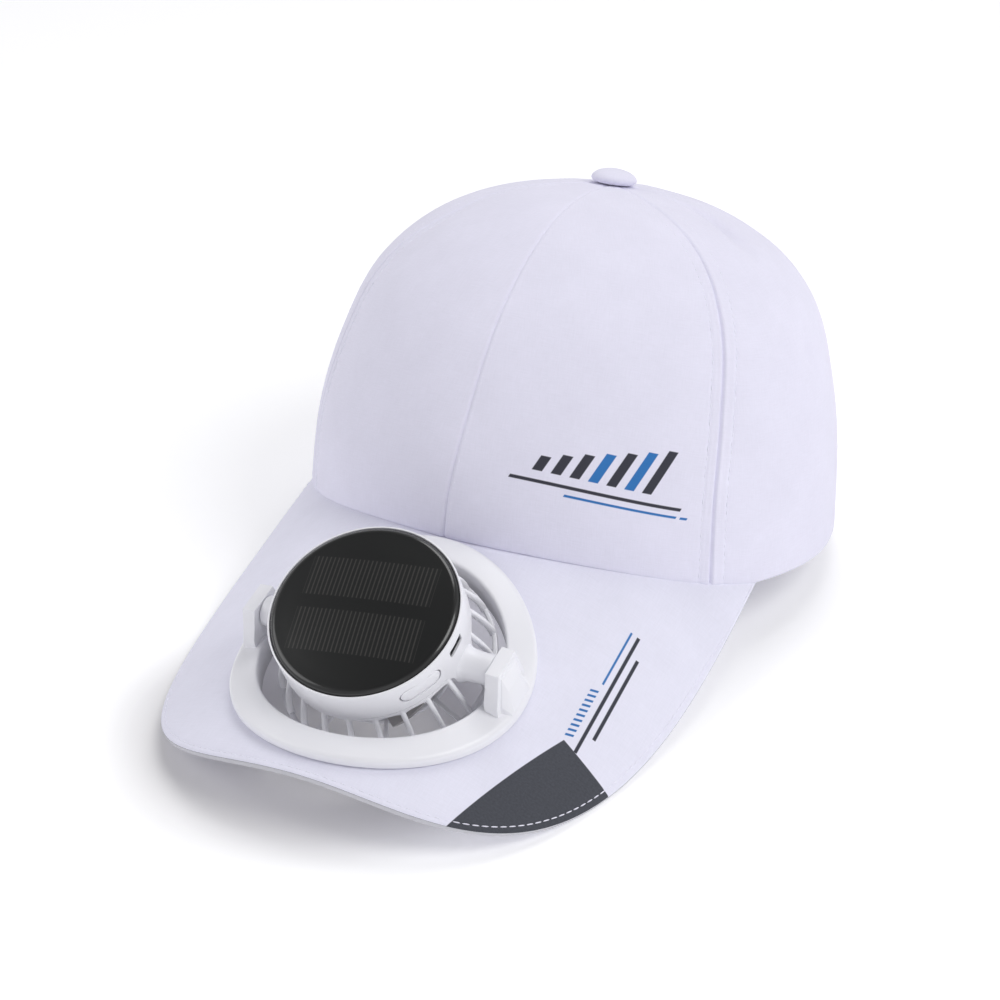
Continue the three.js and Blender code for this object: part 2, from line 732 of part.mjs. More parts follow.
function headShell() {
  const [outer, lip] = [HOUSING_RADIUS, HOUSING_RADIUS - LIP_WIDTH];
  const cup = turned([
    [0, LID_BOTTOM],
    [HOUSING_INNER, LID_BOTTOM],
    [HOUSING_INNER, HOUSING_BOTTOM],
    [outer - LIP_WIDTH / 2, HOUSING_BOTTOM],
    [outer, HOUSING_BOTTOM + LIP_WIDTH],
    [outer, HOUSING_TOP - LIP_WIDTH / 2],
    [outer - LIP_WIDTH / 2, HOUSING_TOP],
    [lip, HOUSING_TOP],
    [lip, LID_TOP],
    [0, LID_TOP],
  ], ROUND_SIDES);
  const skirt = turnedRing([
    [HOUSING_INNER, -LUG_DROP],
    [outer, -LUG_DROP],
    [outer, HOUSING_BOTTOM + LIP_WIDTH],
    [HOUSING_INNER, HOUSING_BOTTOM + LIP_WIDTH],
  ], ROUND_SIDES);
  const barrelEnd = POST_INNER_REACH - PIECE_GAP;
  const barrel = crossBar(BARREL_RADIUS, HOUSING_INNER + HOUSING_WALL / 2, barrelEnd, CENTRE);
  const journal = crossBar(JOURNAL_RADIUS, HOUSING_RADIUS, POST_INNER_REACH + JOURNAL_LENGTH, CENTRE);
  const pin = barrel.add(journal);
  const portHole = solidOf(
    new THREE.BoxGeometry(PORT_LENGTH, PORT_HEIGHT, 4 * HOUSING_WALL),
    PORT_FRAME,
  );
  const seat = 2 * BUTTON_CLEARANCE;
  const buttonHole = solidOf(pill(BUTTON_LENGTH + seat, BUTTON_WIDTH + seat, 4 * HOUSING_WALL), BUTTON_FRAME);
  return cup
    .add(skirt.intersect(lugBlocks(0)))
    .add(pin)
    .add(mirrored(pin))
    .subtract(portHole)
    .subtract(buttonHole);
}

function solarPanel() {
  const radius = HOUSING_RADIUS - LIP_WIDTH - PIECE_GAP;
  const base = LID_TOP + PIECE_GAP;
  const edge = base + PANEL_THICKNESS;
  return turned([
    [0, base],
    [radius, base],
    [radius, edge - PANEL_ROUND / 2],
    [radius - PANEL_ROUND, edge + PANEL_ROUND / 2],
    ...PANEL_PROFILE.map((row) => [row.reach * radius, edge + row.rise * PANEL_DOME]),
  ], ROUND_SIDES);
}

// One flaring rib from the ring under the housing out to the rim.
function cageRib(azimuth) {
  const top = HOUSING_BOTTOM - PIECE_GAP - CAGE_RING_HEIGHT / 2;
  const bottom = CAGE_RIM_BOTTOM + CAGE_RIM_HEIGHT / 2;
  const sections = [];
  for (let i = 0; i <= RIB_STEPS; i += 1) {
    const share = i / RIB_STEPS;
    const middle = THREE.MathUtils.lerp(HOUSING_RADIUS - RIB_DEPTH / 2 - LIP_WIDTH / 2,
      CAGE_RIM_RADIUS - RIB_DEPTH / 2, Math.sin((share * Math.PI) / 2));
    const at = (out, aside) =>
      new THREE.Vector3(middle + out * RIB_DEPTH / 2, (aside * RIB_WIDTH) / 2, 0)
        .applyAxisAngle(new THREE.Vector3(0, 0, 1), azimuth)
        .setZ(THREE.MathUtils.lerp(top, bottom, share));
    sections.push([at(-1, -1), at(1, -1), at(1, 1), at(-1, 1)]);
  }
  return loft(sections);
}

function fanCage() {
  const top = HOUSING_BOTTOM - PIECE_GAP;
  const ringOuter = HOUSING_RADIUS - LIP_WIDTH / 2;
  const rimInner = CAGE_RIM_RADIUS - CAGE_RIM_WIDTH;
  const rimTop = CAGE_RIM_BOTTOM + CAGE_RIM_HEIGHT;
  const guardTop = CAGE_RIM_BOTTOM + GUARD_THICKNESS;
  const pieces = [
    turnedRing([
      [HOUSING_INNER, top - CAGE_RING_HEIGHT],
      [ringOuter, top - CAGE_RING_HEIGHT],
      [ringOuter, top],
      [HOUSING_INNER, top],
    ], ROUND_SIDES),
    turnedRing([
      [rimInner, CAGE_RIM_BOTTOM],
      [CAGE_RIM_RADIUS, CAGE_RIM_BOTTOM],
      [CAGE_RIM_RADIUS, rimTop],
      [rimInner, rimTop],
    ], ROUND_SIDES),
    turned([
      [0, CAGE_RIM_BOTTOM],
      [GUARD_HUB_RADIUS, CAGE_RIM_BOTTOM],
      [GUARD_HUB_RADIUS, guardTop],
      [0, guardTop],
    ], PIN_SIDES),
    turnedRing([
      [GUARD_RING_RADIUS, CAGE_RIM_BOTTOM],
      [GUARD_RING_RADIUS + GUARD_RING_WIDTH, CAGE_RIM_BOTTOM],
      [GUARD_RING_RADIUS + GUARD_RING_WIDTH, guardTop],
      [GUARD_RING_RADIUS, guardTop],
    ], SMALL_SIDES),
  ];
  for (let i = 0; i < GUARD_SPOKES / 2; i += 1) {
    const length = 2 * (rimInner + CAGE_RIM_WIDTH / 2);
    const spoke = new THREE.BoxGeometry(length, GUARD_SPOKE_WIDTH, GUARD_THICKNESS);
    spoke.rotateZ((2 * Math.PI * (i + 0.5)) / GUARD_SPOKES).translate(0, 0, (guardTop + CAGE_RIM_BOTTOM) / 2);
    pieces.push(solidOf(spoke));
  }
  for (let i = 0; i < RIB_COUNT; i += 1) {
    pieces.push(cageRib((2 * Math.PI * i) / RIB_COUNT));
  }
  return pieces.reduce((whole, piece) => whole.add(piece)).subtract(lugBlocks(PIECE_GAP));
}

const MOTOR_TOP = LID_BOTTOM - PIECE_GAP;

function fanMotor() {
  return turned([
    [0, MOTOR_BOTTOM - SHAFT_LENGTH],
    [SHAFT_RADIUS, MOTOR_BOTTOM - SHAFT_LENGTH],
    [SHAFT_RADIUS, MOTOR_BOTTOM],
    [MOTOR_RADIUS, MOTOR_BOTTOM],
    [MOTOR_RADIUS, MOTOR_TOP],
    [0, MOTOR_TOP],
  ], SMALL_SIDES);
}

// One pitched blade, from inside the hub's wall to a clearance inside the housing.
function impellerBlade(azimuth, high, low) {
  const [root, tip] = [HUB_RADIUS - BLADE_THICKNESS, HOUSING_INNER - BLADE_TIP_CLEARANCE];
  const sections = [];
  for (let i = 0; i <= BLADE_STEPS; i += 1) {
    const share = i / BLADE_STEPS;
    const radius = THREE.MathUtils.lerp(root, tip, share);
    const span = (BLADE_SPAN * THREE.MathUtils.lerp(1, BLADE_TIP_SPAN, share)) / 2;
    const rise = THREE.MathUtils.lerp(1, BLADE_TIP_PITCH, share) * ((high - low - BLADE_THICKNESS) / 2);
    const middle = (high + low) / 2;
    const at = (end, face) => {
      const turn = azimuth + end * span + share * BLADE_SWEEP;
      const height = middle + end * rise + (face * BLADE_THICKNESS) / 2;
      return new THREE.Vector3(radius * Math.cos(turn), radius * Math.sin(turn), height);
    };
    sections.push([at(-1, -1), at(0, -1), at(1, -1), at(1, 1), at(0, 1), at(-1, 1)]);
  }
  return loft(sections);
}

function impeller() {
  const top = MOTOR_BOTTOM - PIECE_GAP;
  const bottom = top - HUB_HEIGHT;
  const bore = SHAFT_RADIUS + SHAFT_CLEARANCE;
  const boreEnd = MOTOR_BOTTOM - SHAFT_LENGTH - SHAFT_CLEARANCE;
  let wheel = turned([
    [0, bottom],
    [HUB_RADIUS - HUB_ROUND, bottom],
    [HUB_RADIUS, bottom + HUB_ROUND],
    [HUB_RADIUS, top],
    [bore, top],
    [bore, boreEnd],
    [0, boreEnd],
  ], SMALL_SIDES);
  for (let i = 0; i < BLADE_COUNT; i += 1) {
    wheel = wheel.add(impellerBlade((2 * Math.PI * i) / BLADE_COUNT, top, bottom + BLADE_MARGIN));
  }
  return wheel;
}

function chargingPort() {
  const [length, height] = [PORT_LENGTH - 2 * PIECE_GAP, PORT_HEIGHT - 2 * PIECE_GAP];
  const shell = new THREE.BoxGeometry(length, height, PORT_DEPTH);
  const hollow = new THREE.BoxGeometry(length - 2 * PORT_WALL, height - 2 * PORT_WALL, PORT_DEPTH);
  const inward = -PORT_SETBACK - PORT_DEPTH / 2;
  const outer = solidOf(shell.translate(0, 0, inward), PORT_FRAME);
  return outer.subtract(solidOf(hollow.translate(0, 0, inward + PORT_WALL), PORT_FRAME));
}

function powerButton() {
  const bar = solidOf(pill(BUTTON_LENGTH, BUTTON_WIDTH, 4 * HOUSING_WALL), BUTTON_FRAME);
  const [low, high] = [BUTTON_RISE - BUTTON_WIDTH, BUTTON_RISE + BUTTON_WIDTH];
  const band = turnedRing([
    [HOUSING_RADIUS - BUTTON_DEPTH, low],
    [HOUSING_RADIUS, low],
    [HOUSING_RADIUS, high],
    [HOUSING_RADIUS - BUTTON_DEPTH, high],
  ], ROUND_SIDES);
  return bar.intersect(band);
}

// Assembly

const cap = new THREE.Group();
const arch = backArch();
const sidePanels = [
  { name: 'front', from: FRONT_SEAM, to: SIDE_SEAM, arched: false },
  { name: 'side', from: SIDE_SEAM, to: REAR_SEAM, arched: false },
  { name: 'back', from: REAR_SEAM, to: BACK_SEAM, arched: true },
];
for (const panel of sidePanels) {
  const left = crownPanel(panel.from, panel.to);
  cap.add(meshOf(`${panel.name}_left_panel`, panel.arched ? left.subtract(arch) : left, CLOTH));
  const right = crownPanel(
    { azimuth: -panel.to.azimuth, swing: -panel.to.swing },
    { azimuth: -panel.from.azimuth, swing: -panel.from.swing },
  );
  cap.add(meshOf(`${panel.name}_right_panel`, panel.arched ? right.subtract(arch) : right, CLOTH));
}

const button = meshOf('crown_button', crownButton(), CLOTH);
button.position.copy(APEX);
button.position.z += PIECE_GAP;
button.rotation.x = -APEX_LEAN;
cap.add(button);
cap.add(meshOf('adjuster_strap', adjusterStrap(), CLOTH));
cap.add(meshOf('brim', brim(), BRIM_CLOTH));
cap.add(meshOf('mount_ring', fanMount(), WHITE_PLASTIC));
cap.add(meshOf('retaining_ring', retainingRing(), WHITE_PLASTIC));

const head = new THREE.Group();
head.position.copy(AXLE);
head.rotation.x = BRIM_SLOPE + HEAD_TILT;
head.add(meshOf('head_shell', headShell(), WHITE_PLASTIC));
head.add(meshOf('solar_panel', solarPanel(), BLACK_GLOSS));
head.add(meshOf('fan_cage', fanCage(), WHITE_PLASTIC));
head.add(meshOf('fan_motor', fanMotor(), GREY_PLASTIC));
head.add(meshOf('impeller', impeller(), GREY_PLASTIC));
head.add(meshOf('charging_port', chargingPort(), METAL));
head.add(meshOf('power_button', powerButton(), WHITE_PLASTIC));
cap.add(head);

// The lowest point of a mesh of the cap once the cap leans back.
function lowestPoint(name, lean) {
  const points = cap.getObjectByName(name).geometry.attributes.position;
  let low = Infinity;
  for (let i = 0; i < points.count; i += 1) {
    low = Math.min(low, points.getZ(i) * Math.cos(lean) - points.getY(i) * Math.sin(lean));
  }
  return low;
}

// The cap leans back until the peak's front corners and the rear rim beside the arch are level.
cap.rotation.x = -crossing(
  (lean) => lowestPoint('brim', lean) - lowestPoint('back_left_panel', lean),
  0,
  Math.PI / 6,
);

// The origin is under the middle of the hat, on the surface that it rests on.
const hat = new THREE.Group();
hat.add(cap);
hat.updateMatrixWorld(true);
const extent = new THREE.Box3().setFromObject(hat, true);
const middle = extent.getCenter(new THREE.Vector3());
cap.position.set(-middle.x, -middle.y, -extent.min.z);

export default hat;
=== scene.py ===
"""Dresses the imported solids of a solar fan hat: cloth, stitching, prints, plastic and glass."""

import logging
import math
from dataclasses import dataclass, field
from enum import Enum
from typing import Callable, Mapping, Sequence

import bmesh
import bpy
import numpy as np
from mathutils import Matrix, Vector


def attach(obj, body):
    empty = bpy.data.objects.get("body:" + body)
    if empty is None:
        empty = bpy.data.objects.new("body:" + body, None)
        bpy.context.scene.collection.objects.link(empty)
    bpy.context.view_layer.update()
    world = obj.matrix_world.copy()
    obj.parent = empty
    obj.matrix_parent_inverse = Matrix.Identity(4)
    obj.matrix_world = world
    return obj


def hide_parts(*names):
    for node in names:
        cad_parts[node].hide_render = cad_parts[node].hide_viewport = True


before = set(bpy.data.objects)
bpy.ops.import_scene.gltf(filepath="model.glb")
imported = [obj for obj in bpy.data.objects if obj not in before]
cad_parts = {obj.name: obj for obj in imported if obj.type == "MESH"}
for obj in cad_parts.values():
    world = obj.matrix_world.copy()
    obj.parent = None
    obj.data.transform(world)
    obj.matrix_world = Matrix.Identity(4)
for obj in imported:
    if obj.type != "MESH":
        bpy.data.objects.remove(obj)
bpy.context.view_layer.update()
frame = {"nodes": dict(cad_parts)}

LOG = logging.getLogger("solar_fan_hat")
MM = 0.001
NUDGE = 1e-3

Array = np.ndarray
Colour = tuple[float, float, float]
Placer = Callable[[Array], Array]


class Body(Enum):
    """The rigid bodies that pieces ride on."""

    CAP = "cap"
    HEAD = "fan_head"
    IMPELLER = "impeller"
    BUTTON = "power_button"


class Slot(Enum):
    """The record's material slots."""

    CLOTH = "cloth"
    BRIM = "brim_cloth"
    PLASTIC = "white_plastic"
    GLASS = "black_gloss"
    GREY = "grey_plastic"
    METAL = "port_metal"


# Shader expressions


class Value:
    """A shader value that adds Math nodes to its graph as it is used in expressions."""

    def __init__(self, graph: "Graph", socket: bpy.types.NodeSocket) -> None:
        """Wraps a socket.

        Args:
            graph: the graph that new nodes go into.
            socket: the output that carries the value.
        """
        self.graph = graph
        self.socket = socket

    def _math(self, operation: str, *terms: "Value | float") -> "Value":
        """Adds one Math node.

        Args:
            operation: the node's operation.
            terms: its inputs, in order.

        Returns:
            The node's result.
        """
        node = self.graph.node(
            "ShaderNodeMath", {"operation": operation}, dict(enumerate(terms))
        )
        return Value(self.graph, node.outputs[0])

    def __add__(self, other: "Value | float") -> "Value":
        """Sum."""
        return self._math("ADD", self, other)

    __radd__ = __add__

    def __sub__(self, other: "Value | float") -> "Value":
        """Difference."""
        return self._math("SUBTRACT", self, other)

    def __rsub__(self, other: float) -> "Value":
        """Difference from a number."""
        return self._math("SUBTRACT", other, self)

    def __mul__(self, other: "Value | float") -> "Value":
        """Product."""
        return self._math("MULTIPLY", self, other)

    __rmul__ = __mul__

    def __truediv__(self, other: "Value | float") -> "Value":
        """Quotient."""
        return self._math("DIVIDE", self, other)

    def __abs__(self) -> "Value":
        """Size without sign."""
        return self._math("ABSOLUTE", self)

    def sine(self) -> "Value":
        """Sine of an angle in radians."""
        return self._math("SINE", self)

    def wrapped(self, period: float) -> "Value":
        """What is left over after whole periods, centred on zero."""
        return self._math("WRAP", self, period / 2, -period / 2)

    def least(self, other: "Value | float") -> "Value":
        """The smaller of two values."""
        return self._math("MINIMUM", self, other)

    def most(self, other: "Value | float") -> "Value":
        """The larger of two values."""
        return self._math("MAXIMUM", self, other)

    def eased(self, low: float, high: float) -> "Value":
        """Rises smoothly from 0 at low to 1 at high, or falls if high is below low."""
        flipped = low > high
        node = self.graph.node(
            "ShaderNodeMapRange",
            {"interpolation_type": "SMOOTHSTEP"},
            {
                "Value": self,
                "From Min": min(low, high),
                "From Max": max(low, high),
                "To Min": 1.0 if flipped else 0.0,
                "To Max": 0.0 if flipped else 1.0,
            },
        )
        return Value(self.graph, node.outputs[0])

    def within(self, half: float, soft: float) -> "Value":
        """1 where the value is nearer to zero than half, with a soft edge."""
        return abs(self).eased(half + soft / 2, half - soft / 2)


class Graph:
    """The nodes of one material or world."""

    def __init__(self, owner: bpy.types.Material | bpy.types.World) -> None:
        """Starts an empty tree.

        Args:
            owner: what the tree belongs to.
        """
        owner.use_nodes = True
        self.tree = owner.node_tree
        self.tree.nodes.clear()

    def node(
        self,
        kind: str,
        settings: Mapping[str, object] | None = None,
        inputs: Mapping[str | int, object] | None = None,
    ) -> bpy.types.Node:
        """Makes one node.

        Args:
            kind: the node's type.
            settings: its own settings, set first.
            inputs: values or links of its sockets, by name or place.

        Returns:
            The node.
        """
        node = self.tree.nodes.new(kind)
        for name, setting in (settings or {}).items():
            setattr(node, name, setting)
        for key, value in (inputs or {}).items():
            socket = node.inputs[key]
            if isinstance(value, Value):
                self.tree.links.new(value.socket, socket)
            elif isinstance(value, bpy.types.NodeSocket):
                self.tree.links.new(value, socket)
            else:
                socket.default_value = value
        return node

    def blend(self, share: Value, low: object, high: object) -> bpy.types.NodeSocket:
        """Mixes two colours.

        Args:
            share: 0 for low, 1 for high.
            low: a colour or a socket.
            high: a colour or a socket.

        Returns:
            The mixed colour's socket.
        """
        ends = [c + (1.0,) if isinstance(c, tuple) else c for c in (low, high)]
        node = self.node(
            "ShaderNodeMix", {"data_type": "RGBA"}, {0: share, 6: ends[0], 7: ends[1]}
        )
        return node.outputs[2]

    def noise(self, place: bpy.types.NodeSocket, scale: float, detail: float) -> Value:
        """A cloudy value from 0 to 1.

        Args:
            place: the coordinates to read it at.
            scale: how many clouds there are to a unit.
            detail: how many finer layers it has.

        Returns:
            The value.
        """
        node = self.node(
            "ShaderNodeTexNoise",
            None,
            {"Vector": place, "Scale": scale, "Detail": detail, "Roughness": 0.6},
        )
        return Value(self, node.outputs[0])

    def stretched(self, place: bpy.types.NodeSocket, across: float, along: float) -> bpy.types.NodeSocket:
        """Coordinates with their first two numbers multiplied."""
        node = self.node(
            "ShaderNodeVectorMath", {"operation": "MULTIPLY"}, {0: place, 1: (across, along, 1.0)}
        )
        return node.outputs[0]

    def parts(self, vector: bpy.types.NodeSocket) -> list[Value]:
        """The three numbers of a vector."""
        node = self.node("ShaderNodeSeparateXYZ", None, {0: vector})
        return [Value(self, output) for output in node.outputs]

    def bump(self, height: Value, distance: float, strength: float) -> bpy.types.NodeSocket:
        """A normal that follows a height.

        Args:
            height: the height, from 0 to 1.
            distance: what a height of 1 measures, in metres.
            strength: how much of it shows.

        Returns:
            The normal's socket.
        """
        node = self.node(
            "ShaderNodeBump",
            None,
            {"Height": height, "Distance": distance, "Strength": strength},
        )
        return node.outputs[0]

    def surface(self, inputs: Mapping[str, object]) -> None:
        """Ends a material in one shader.

        Args:
            inputs: values or links of the shader's sockets.
        """
        shader = self.node("ShaderNodeBsdfPrincipled", None, inputs)
        self.node("ShaderNodeOutputMaterial", None, {0: shader.outputs[0]})


# Finishes

WHITE_CLOTH: Colour = (0.775, 0.762, 0.885)
BRIM_WHITE: Colour = (0.80, 0.795, 0.91)
PRINT_DARK: Colour = (0.045, 0.045, 0.06)
PRINT_BLUE: Colour = (0.035, 0.175, 0.47)
CORNER_GREY: Colour = (0.066, 0.07, 0.084)
# Painted shade: the peak's edge wall is drawn in this darker grey, as if it stood in shade.
PAINTED_EDGE_SHADE: Colour = (0.56, 0.56, 0.6)
INNER_SHIFT: Array = np.array([0.6, 0.0])
# Shifts the map of the peak's edge wall, so that its painted shade can find it.
EDGE_SHIFT: Array = np.array([0.3, 0.0])


@dataclass(frozen=True)
class Cloth:
    """Fine plain-woven cotton. Its map holds places on the cloth in metres."""

    name: str
    colour: Colour = WHITE_CLOTH
    thread_count: float = 2300.0
    thread_run: float = 210.0
    relief: float = 0.00015
    roughness: float = 0.92
    sheen: float = 0.12

    def printed(self, graph: Graph, across: Value, along: Value, ground: object) -> object:
        """Lays what is printed on the cloth over its ground colour.

        Args:
            graph: the material's graph.
            across: place across the cloth, in millimetres.
            along: place along the cloth, in millimetres.
            ground: the cloth's own colour.

        Returns:
            The colour with the print on it.
        """
        return ground

    def make(self) -> bpy.types.Material:
        """Makes the material."""
        material = bpy.data.materials.new(self.name)
        graph = Graph(material)
        place = graph.node("ShaderNodeUVMap", {"uv_map": "cloth"}).outputs[0]
        across, along = [part * 1000 for part in graph.parts(place)[:2]]
        warp = graph.noise(graph.stretched(place, self.thread_count, self.thread_run), 1.0, 2.0)
        weft = graph.noise(graph.stretched(place, self.thread_run, self.thread_count), 1.0, 2.0)
        slub = graph.noise(place, 700.0, 3.0)
        mottle = graph.noise(place, 45.0, 2.0)
        threads = warp * 0.5 + weft * 0.5
        height = threads * 0.7 + slub * 0.3
        shade = 0.87 + threads * 0.15 + mottle * 0.1
        tint = graph.node(
            "ShaderNodeVectorMath",
            {"operation": "SCALE"},
            {0: self.printed(graph, across, along, graph.blend(mottle, self.colour, self.colour)), "Scale": shade},
        )
        graph.surface(
            {
                "Base Color": tint.outputs[0],
                "Roughness": self.roughness,
                "Sheen Weight": self.sheen,
                "Sheen Roughness": 0.5,
                "Specular IOR Level": 0.25,
                "Normal": graph.bump(height, self.relief, 0.75),
            }
        )
        return material


@dataclass(frozen=True)
class Bar:
    """A printed bar: where its middle is, its half sizes in millimetres, and its colour."""

    across: float
    along: float
    half_across: float
    half_along: float
    colour: Colour


def bar_mask(bar: Bar, across: Value, along: Value, soft: float) -> Value:
    """Covers one printed bar.

    Args:
        bar: the bar.
        across: place across the cloth, in millimetres.
        along: place along the cloth, in millimetres.
        soft: width of the print's edge, in millimetres.

    Returns:
        1 on the bar and 0 off it.
    """
    return (across - bar.across).within(bar.half_across, soft) * (
        along - bar.along
    ).within(bar.half_along, soft)


@dataclass(frozen=True)
class CrestCloth(Cloth):
    """Crown cloth with a plain printed mark: rising slanted bars over two lines."""

    centre: tuple[float, float] = (5.4, 28.8)
    size: float = 1.36
    tilt: float = math.radians(-0.5)
    slant: float = 0.45
    soft: float = 0.22
    bars: tuple[Bar, ...] = (
        Bar(-17.0, 1.6, 1.2, 1.8, PRINT_DARK),
        Bar(-12.6, 2.2, 1.2, 2.4, PRINT_DARK),
        Bar(-8.2, 2.8, 1.2, 3.0, PRINT_DARK),
        Bar(-3.8, 3.4, 1.2, 3.6, PRINT_BLUE),
        Bar(0.6, 4.0, 1.2, 4.2, PRINT_DARK),
        Bar(5.0, 4.6, 1.2, 4.8, PRINT_BLUE),
        Bar(9.4, 5.2, 1.2, 5.4, PRINT_DARK),
        Bar(-1.0, -2.6, 21.0, 0.4, PRINT_DARK),
        Bar(6.0, -4.6, 14.0, 0.3, PRINT_BLUE),
        Bar(22.0, -4.6, 1.0, 0.3, PRINT_BLUE),
    )

    def printed(self, graph: Graph, across: Value, along: Value, ground: object) -> object:
        """Lays the mark over the ground colour; see Cloth.printed."""
        cos, sin = math.cos(self.tilt), math.sin(self.tilt)
        right, up = across - self.centre[0], along - self.centre[1]
        p = (right * cos + up * sin) / self.size
        q = (up * cos - right * sin) / self.size
        leaning = p - q * self.slant
        for bar in self.bars:
            ground = graph.blend(bar_mask(bar, leaning, q, self.soft), ground, bar.colour)
        return ground


@dataclass(frozen=True)
class PeakCloth(Cloth):
    """Peak cloth with a grey corner and three printed stripes beside it, and painted shade on its edge wall."""

    corner_top: float = 50.1
    corner_x: float = 59.9
    corner_fall: float = 0.378
    corner_bend: float = 0.00132
    corner_lean: float = 0.378
    soft: float = 0.25
    stripes: tuple[Bar, ...] = (
        Bar(61.6, 13.1, 0.3, 11.6, PRINT_BLUE),
        Bar(63.9, 26.6, 0.48, 25.0, PRINT_DARK),
        Bar(66.5, 26.5, 0.48, 17.3, PRINT_DARK),
    )
    dashes: tuple[float, float, float] = (57.75, 78.75, 2.1)

    def printed(self, graph: Graph, across: Value, along: Value, ground: object) -> object:
        """Lays the corner and the stripes over the ground colour, and paints shade on the edge wall; see Cloth.printed.
        """
        for bar in self.stripes:
            ground = graph.blend(bar_mask(bar, across, along, self.soft), ground, bar.colour)
        first, last, step = self.dashes
        leaning = along + across * 0.5
        run = (leaning - (first + last) / 2).within((last - first) / 2, self.soft)
        dash = leaning.wrapped(step).within(0.45, self.soft)
        column = (across - 60.5).within(1.1, self.soft)
        ground = graph.blend(run * dash * column, ground, PRINT_BLUE)
        down = along - self.corner_top
        left = self.corner_x - down * self.corner_fall + down * down * self.corner_bend
        side = (across - left).eased(-self.soft / 2, self.soft / 2)
        top = (down - (across - self.corner_x) * self.corner_lean).eased(-self.soft / 2, self.soft / 2)
        fleck = graph.noise(graph.node("ShaderNodeUVMap", {"uv_map": "cloth"}).outputs[0], 1500.0, 2.0)
        grey = graph.blend(fleck, tuple(c * 0.72 for c in CORNER_GREY), tuple(c * 1.3 for c in CORNER_GREY))
        ground = graph.blend(side * top, ground, grey)
        # Painted shade: the edge wall, found by its shifted map, is drawn darker grey.
        return graph.blend((across - EDGE_SHIFT[0] * 1000).within(150.0, 5.0), ground, PAINTED_EDGE_SHADE)


@dataclass(frozen=True)
class Plastic:
    """Moulded plastic with a faint skin texture, and painted shade on the walls that its map marks."""

    name: str
    colour: Colour
    roughness: float = 0.34
    relief: float = 0.00004
    scatter: float = 0.0
    # inner: share of the colour kept on the walls that the map marks, a painted shade.
    inner: float = 1.0

    def make(self) -> bpy.types.Material:
        """Makes the material."""
        material = bpy.data.materials.new(self.name)
        graph = Graph(material)
        place = graph.node("ShaderNodeTexCoord").outputs["Object"]
        skin = graph.noise(place, 2600.0, 2.0)
        cloud = graph.noise(place, 60.0, 2.0)
        colour = graph.blend(cloud, tuple(c * 0.965 for c in self.colour), self.colour)
        # Painted shade: where the map marks a recessed wall, the colour is darkened.
        if self.inner < 1:
            depth = graph.parts(graph.node("ShaderNodeUVMap", {"uv_map": "cloth"}).outputs[0])[0]
            colour = graph.blend(depth.eased(0.0, 1.0), colour, tuple(c * self.inner for c in self.colour))
        graph.surface(
            {
                "Base Color": colour,
                "Roughness": self.roughness + (cloud - 0.5) * 0.08,
                "Subsurface Weight": self.scatter,
                "Subsurface Radius": (0.002, 0.002, 0.002),
                "Subsurface Scale": 1.0,
                "Normal": graph.bump(skin, self.relief, 0.5),
            }
        )
        return material


@dataclass(frozen=True)
class SolarGlass:
    """Near-black cells under clear resin. Its map holds places on the disc in metres."""

    name: str
    ground: Colour = (0.0105, 0.011, 0.0108)
    line: Colour = (0.056, 0.054, 0.051)
    half_length: float = 20.3
    rows: tuple[tuple[float, float], ...] = ((9.5, 6.8), (-9.0, 7.1))
    turn: float = math.radians(8.5)
    pitch: float = 1.36
    line_half: float = 0.2

    def make(self) -> bpy.types.Material:
        """Makes the material."""
        material = bpy.data.materials.new(self.name)
        graph = Graph(material)
        place = graph.node("ShaderNodeUVMap", {"uv_map": "disc"}).outputs[0]
        right, back = [part * 1000 for part in graph.parts(place)[:2]]
        cos, sin = math.cos(self.turn), math.sin(self.turn)
        across, along = right * cos + back * sin, back * cos - right * sin
        cells = None
        for middle, half in self.rows:
            row = (along - middle).within(half, 0.25)
            cells = row if cells is None else cells.most(row)
        cells = cells * across.within(self.half_length, 0.2)
        fingers = across.wrapped(self.pitch).within(self.line_half, 0.16)
        grain = graph.noise(place, 900.0, 3.0)
        sheen = graph.noise(place, 40.0, 1.0)
        cell = graph.blend(cells * 0.35, self.ground, tuple(c * 1.35 for c in self.ground))
        lines = graph.blend(cells * fingers * (0.45 + grain * 0.55), cell, self.line)
        graph.surface(
            {
                "Base Color": lines,
                "Roughness": 0.3 + sheen * 0.06,
                "Specular IOR Level": 0.3,
                "Coat Weight": 1.0,
                "Coat Roughness": 0.11,
                "Coat IOR": 1.4,
            }
        )
        return material


@dataclass(frozen=True)
class Metal:
    """Plated sheet metal with fine drawn lines."""

    name: str
    colour: Colour = (0.11, 0.11, 0.12)

    def make(self) -> bpy.types.Material:
        """Makes the material."""
        material = bpy.data.materials.new(self.name)
        graph = Graph(material)
        place = graph.node("ShaderNodeTexCoord").outputs["Object"]
        drawn = graph.noise(place, 3000.0, 1.0)
        graph.surface(
            {
                "Base Color": graph.blend(drawn, tuple(c * 0.85 for c in self.colour), self.colour),
                "Metallic": 1.0,
                "Roughness": 0.26 + drawn * 0.12,
            }
        )
        return material


# Meshes


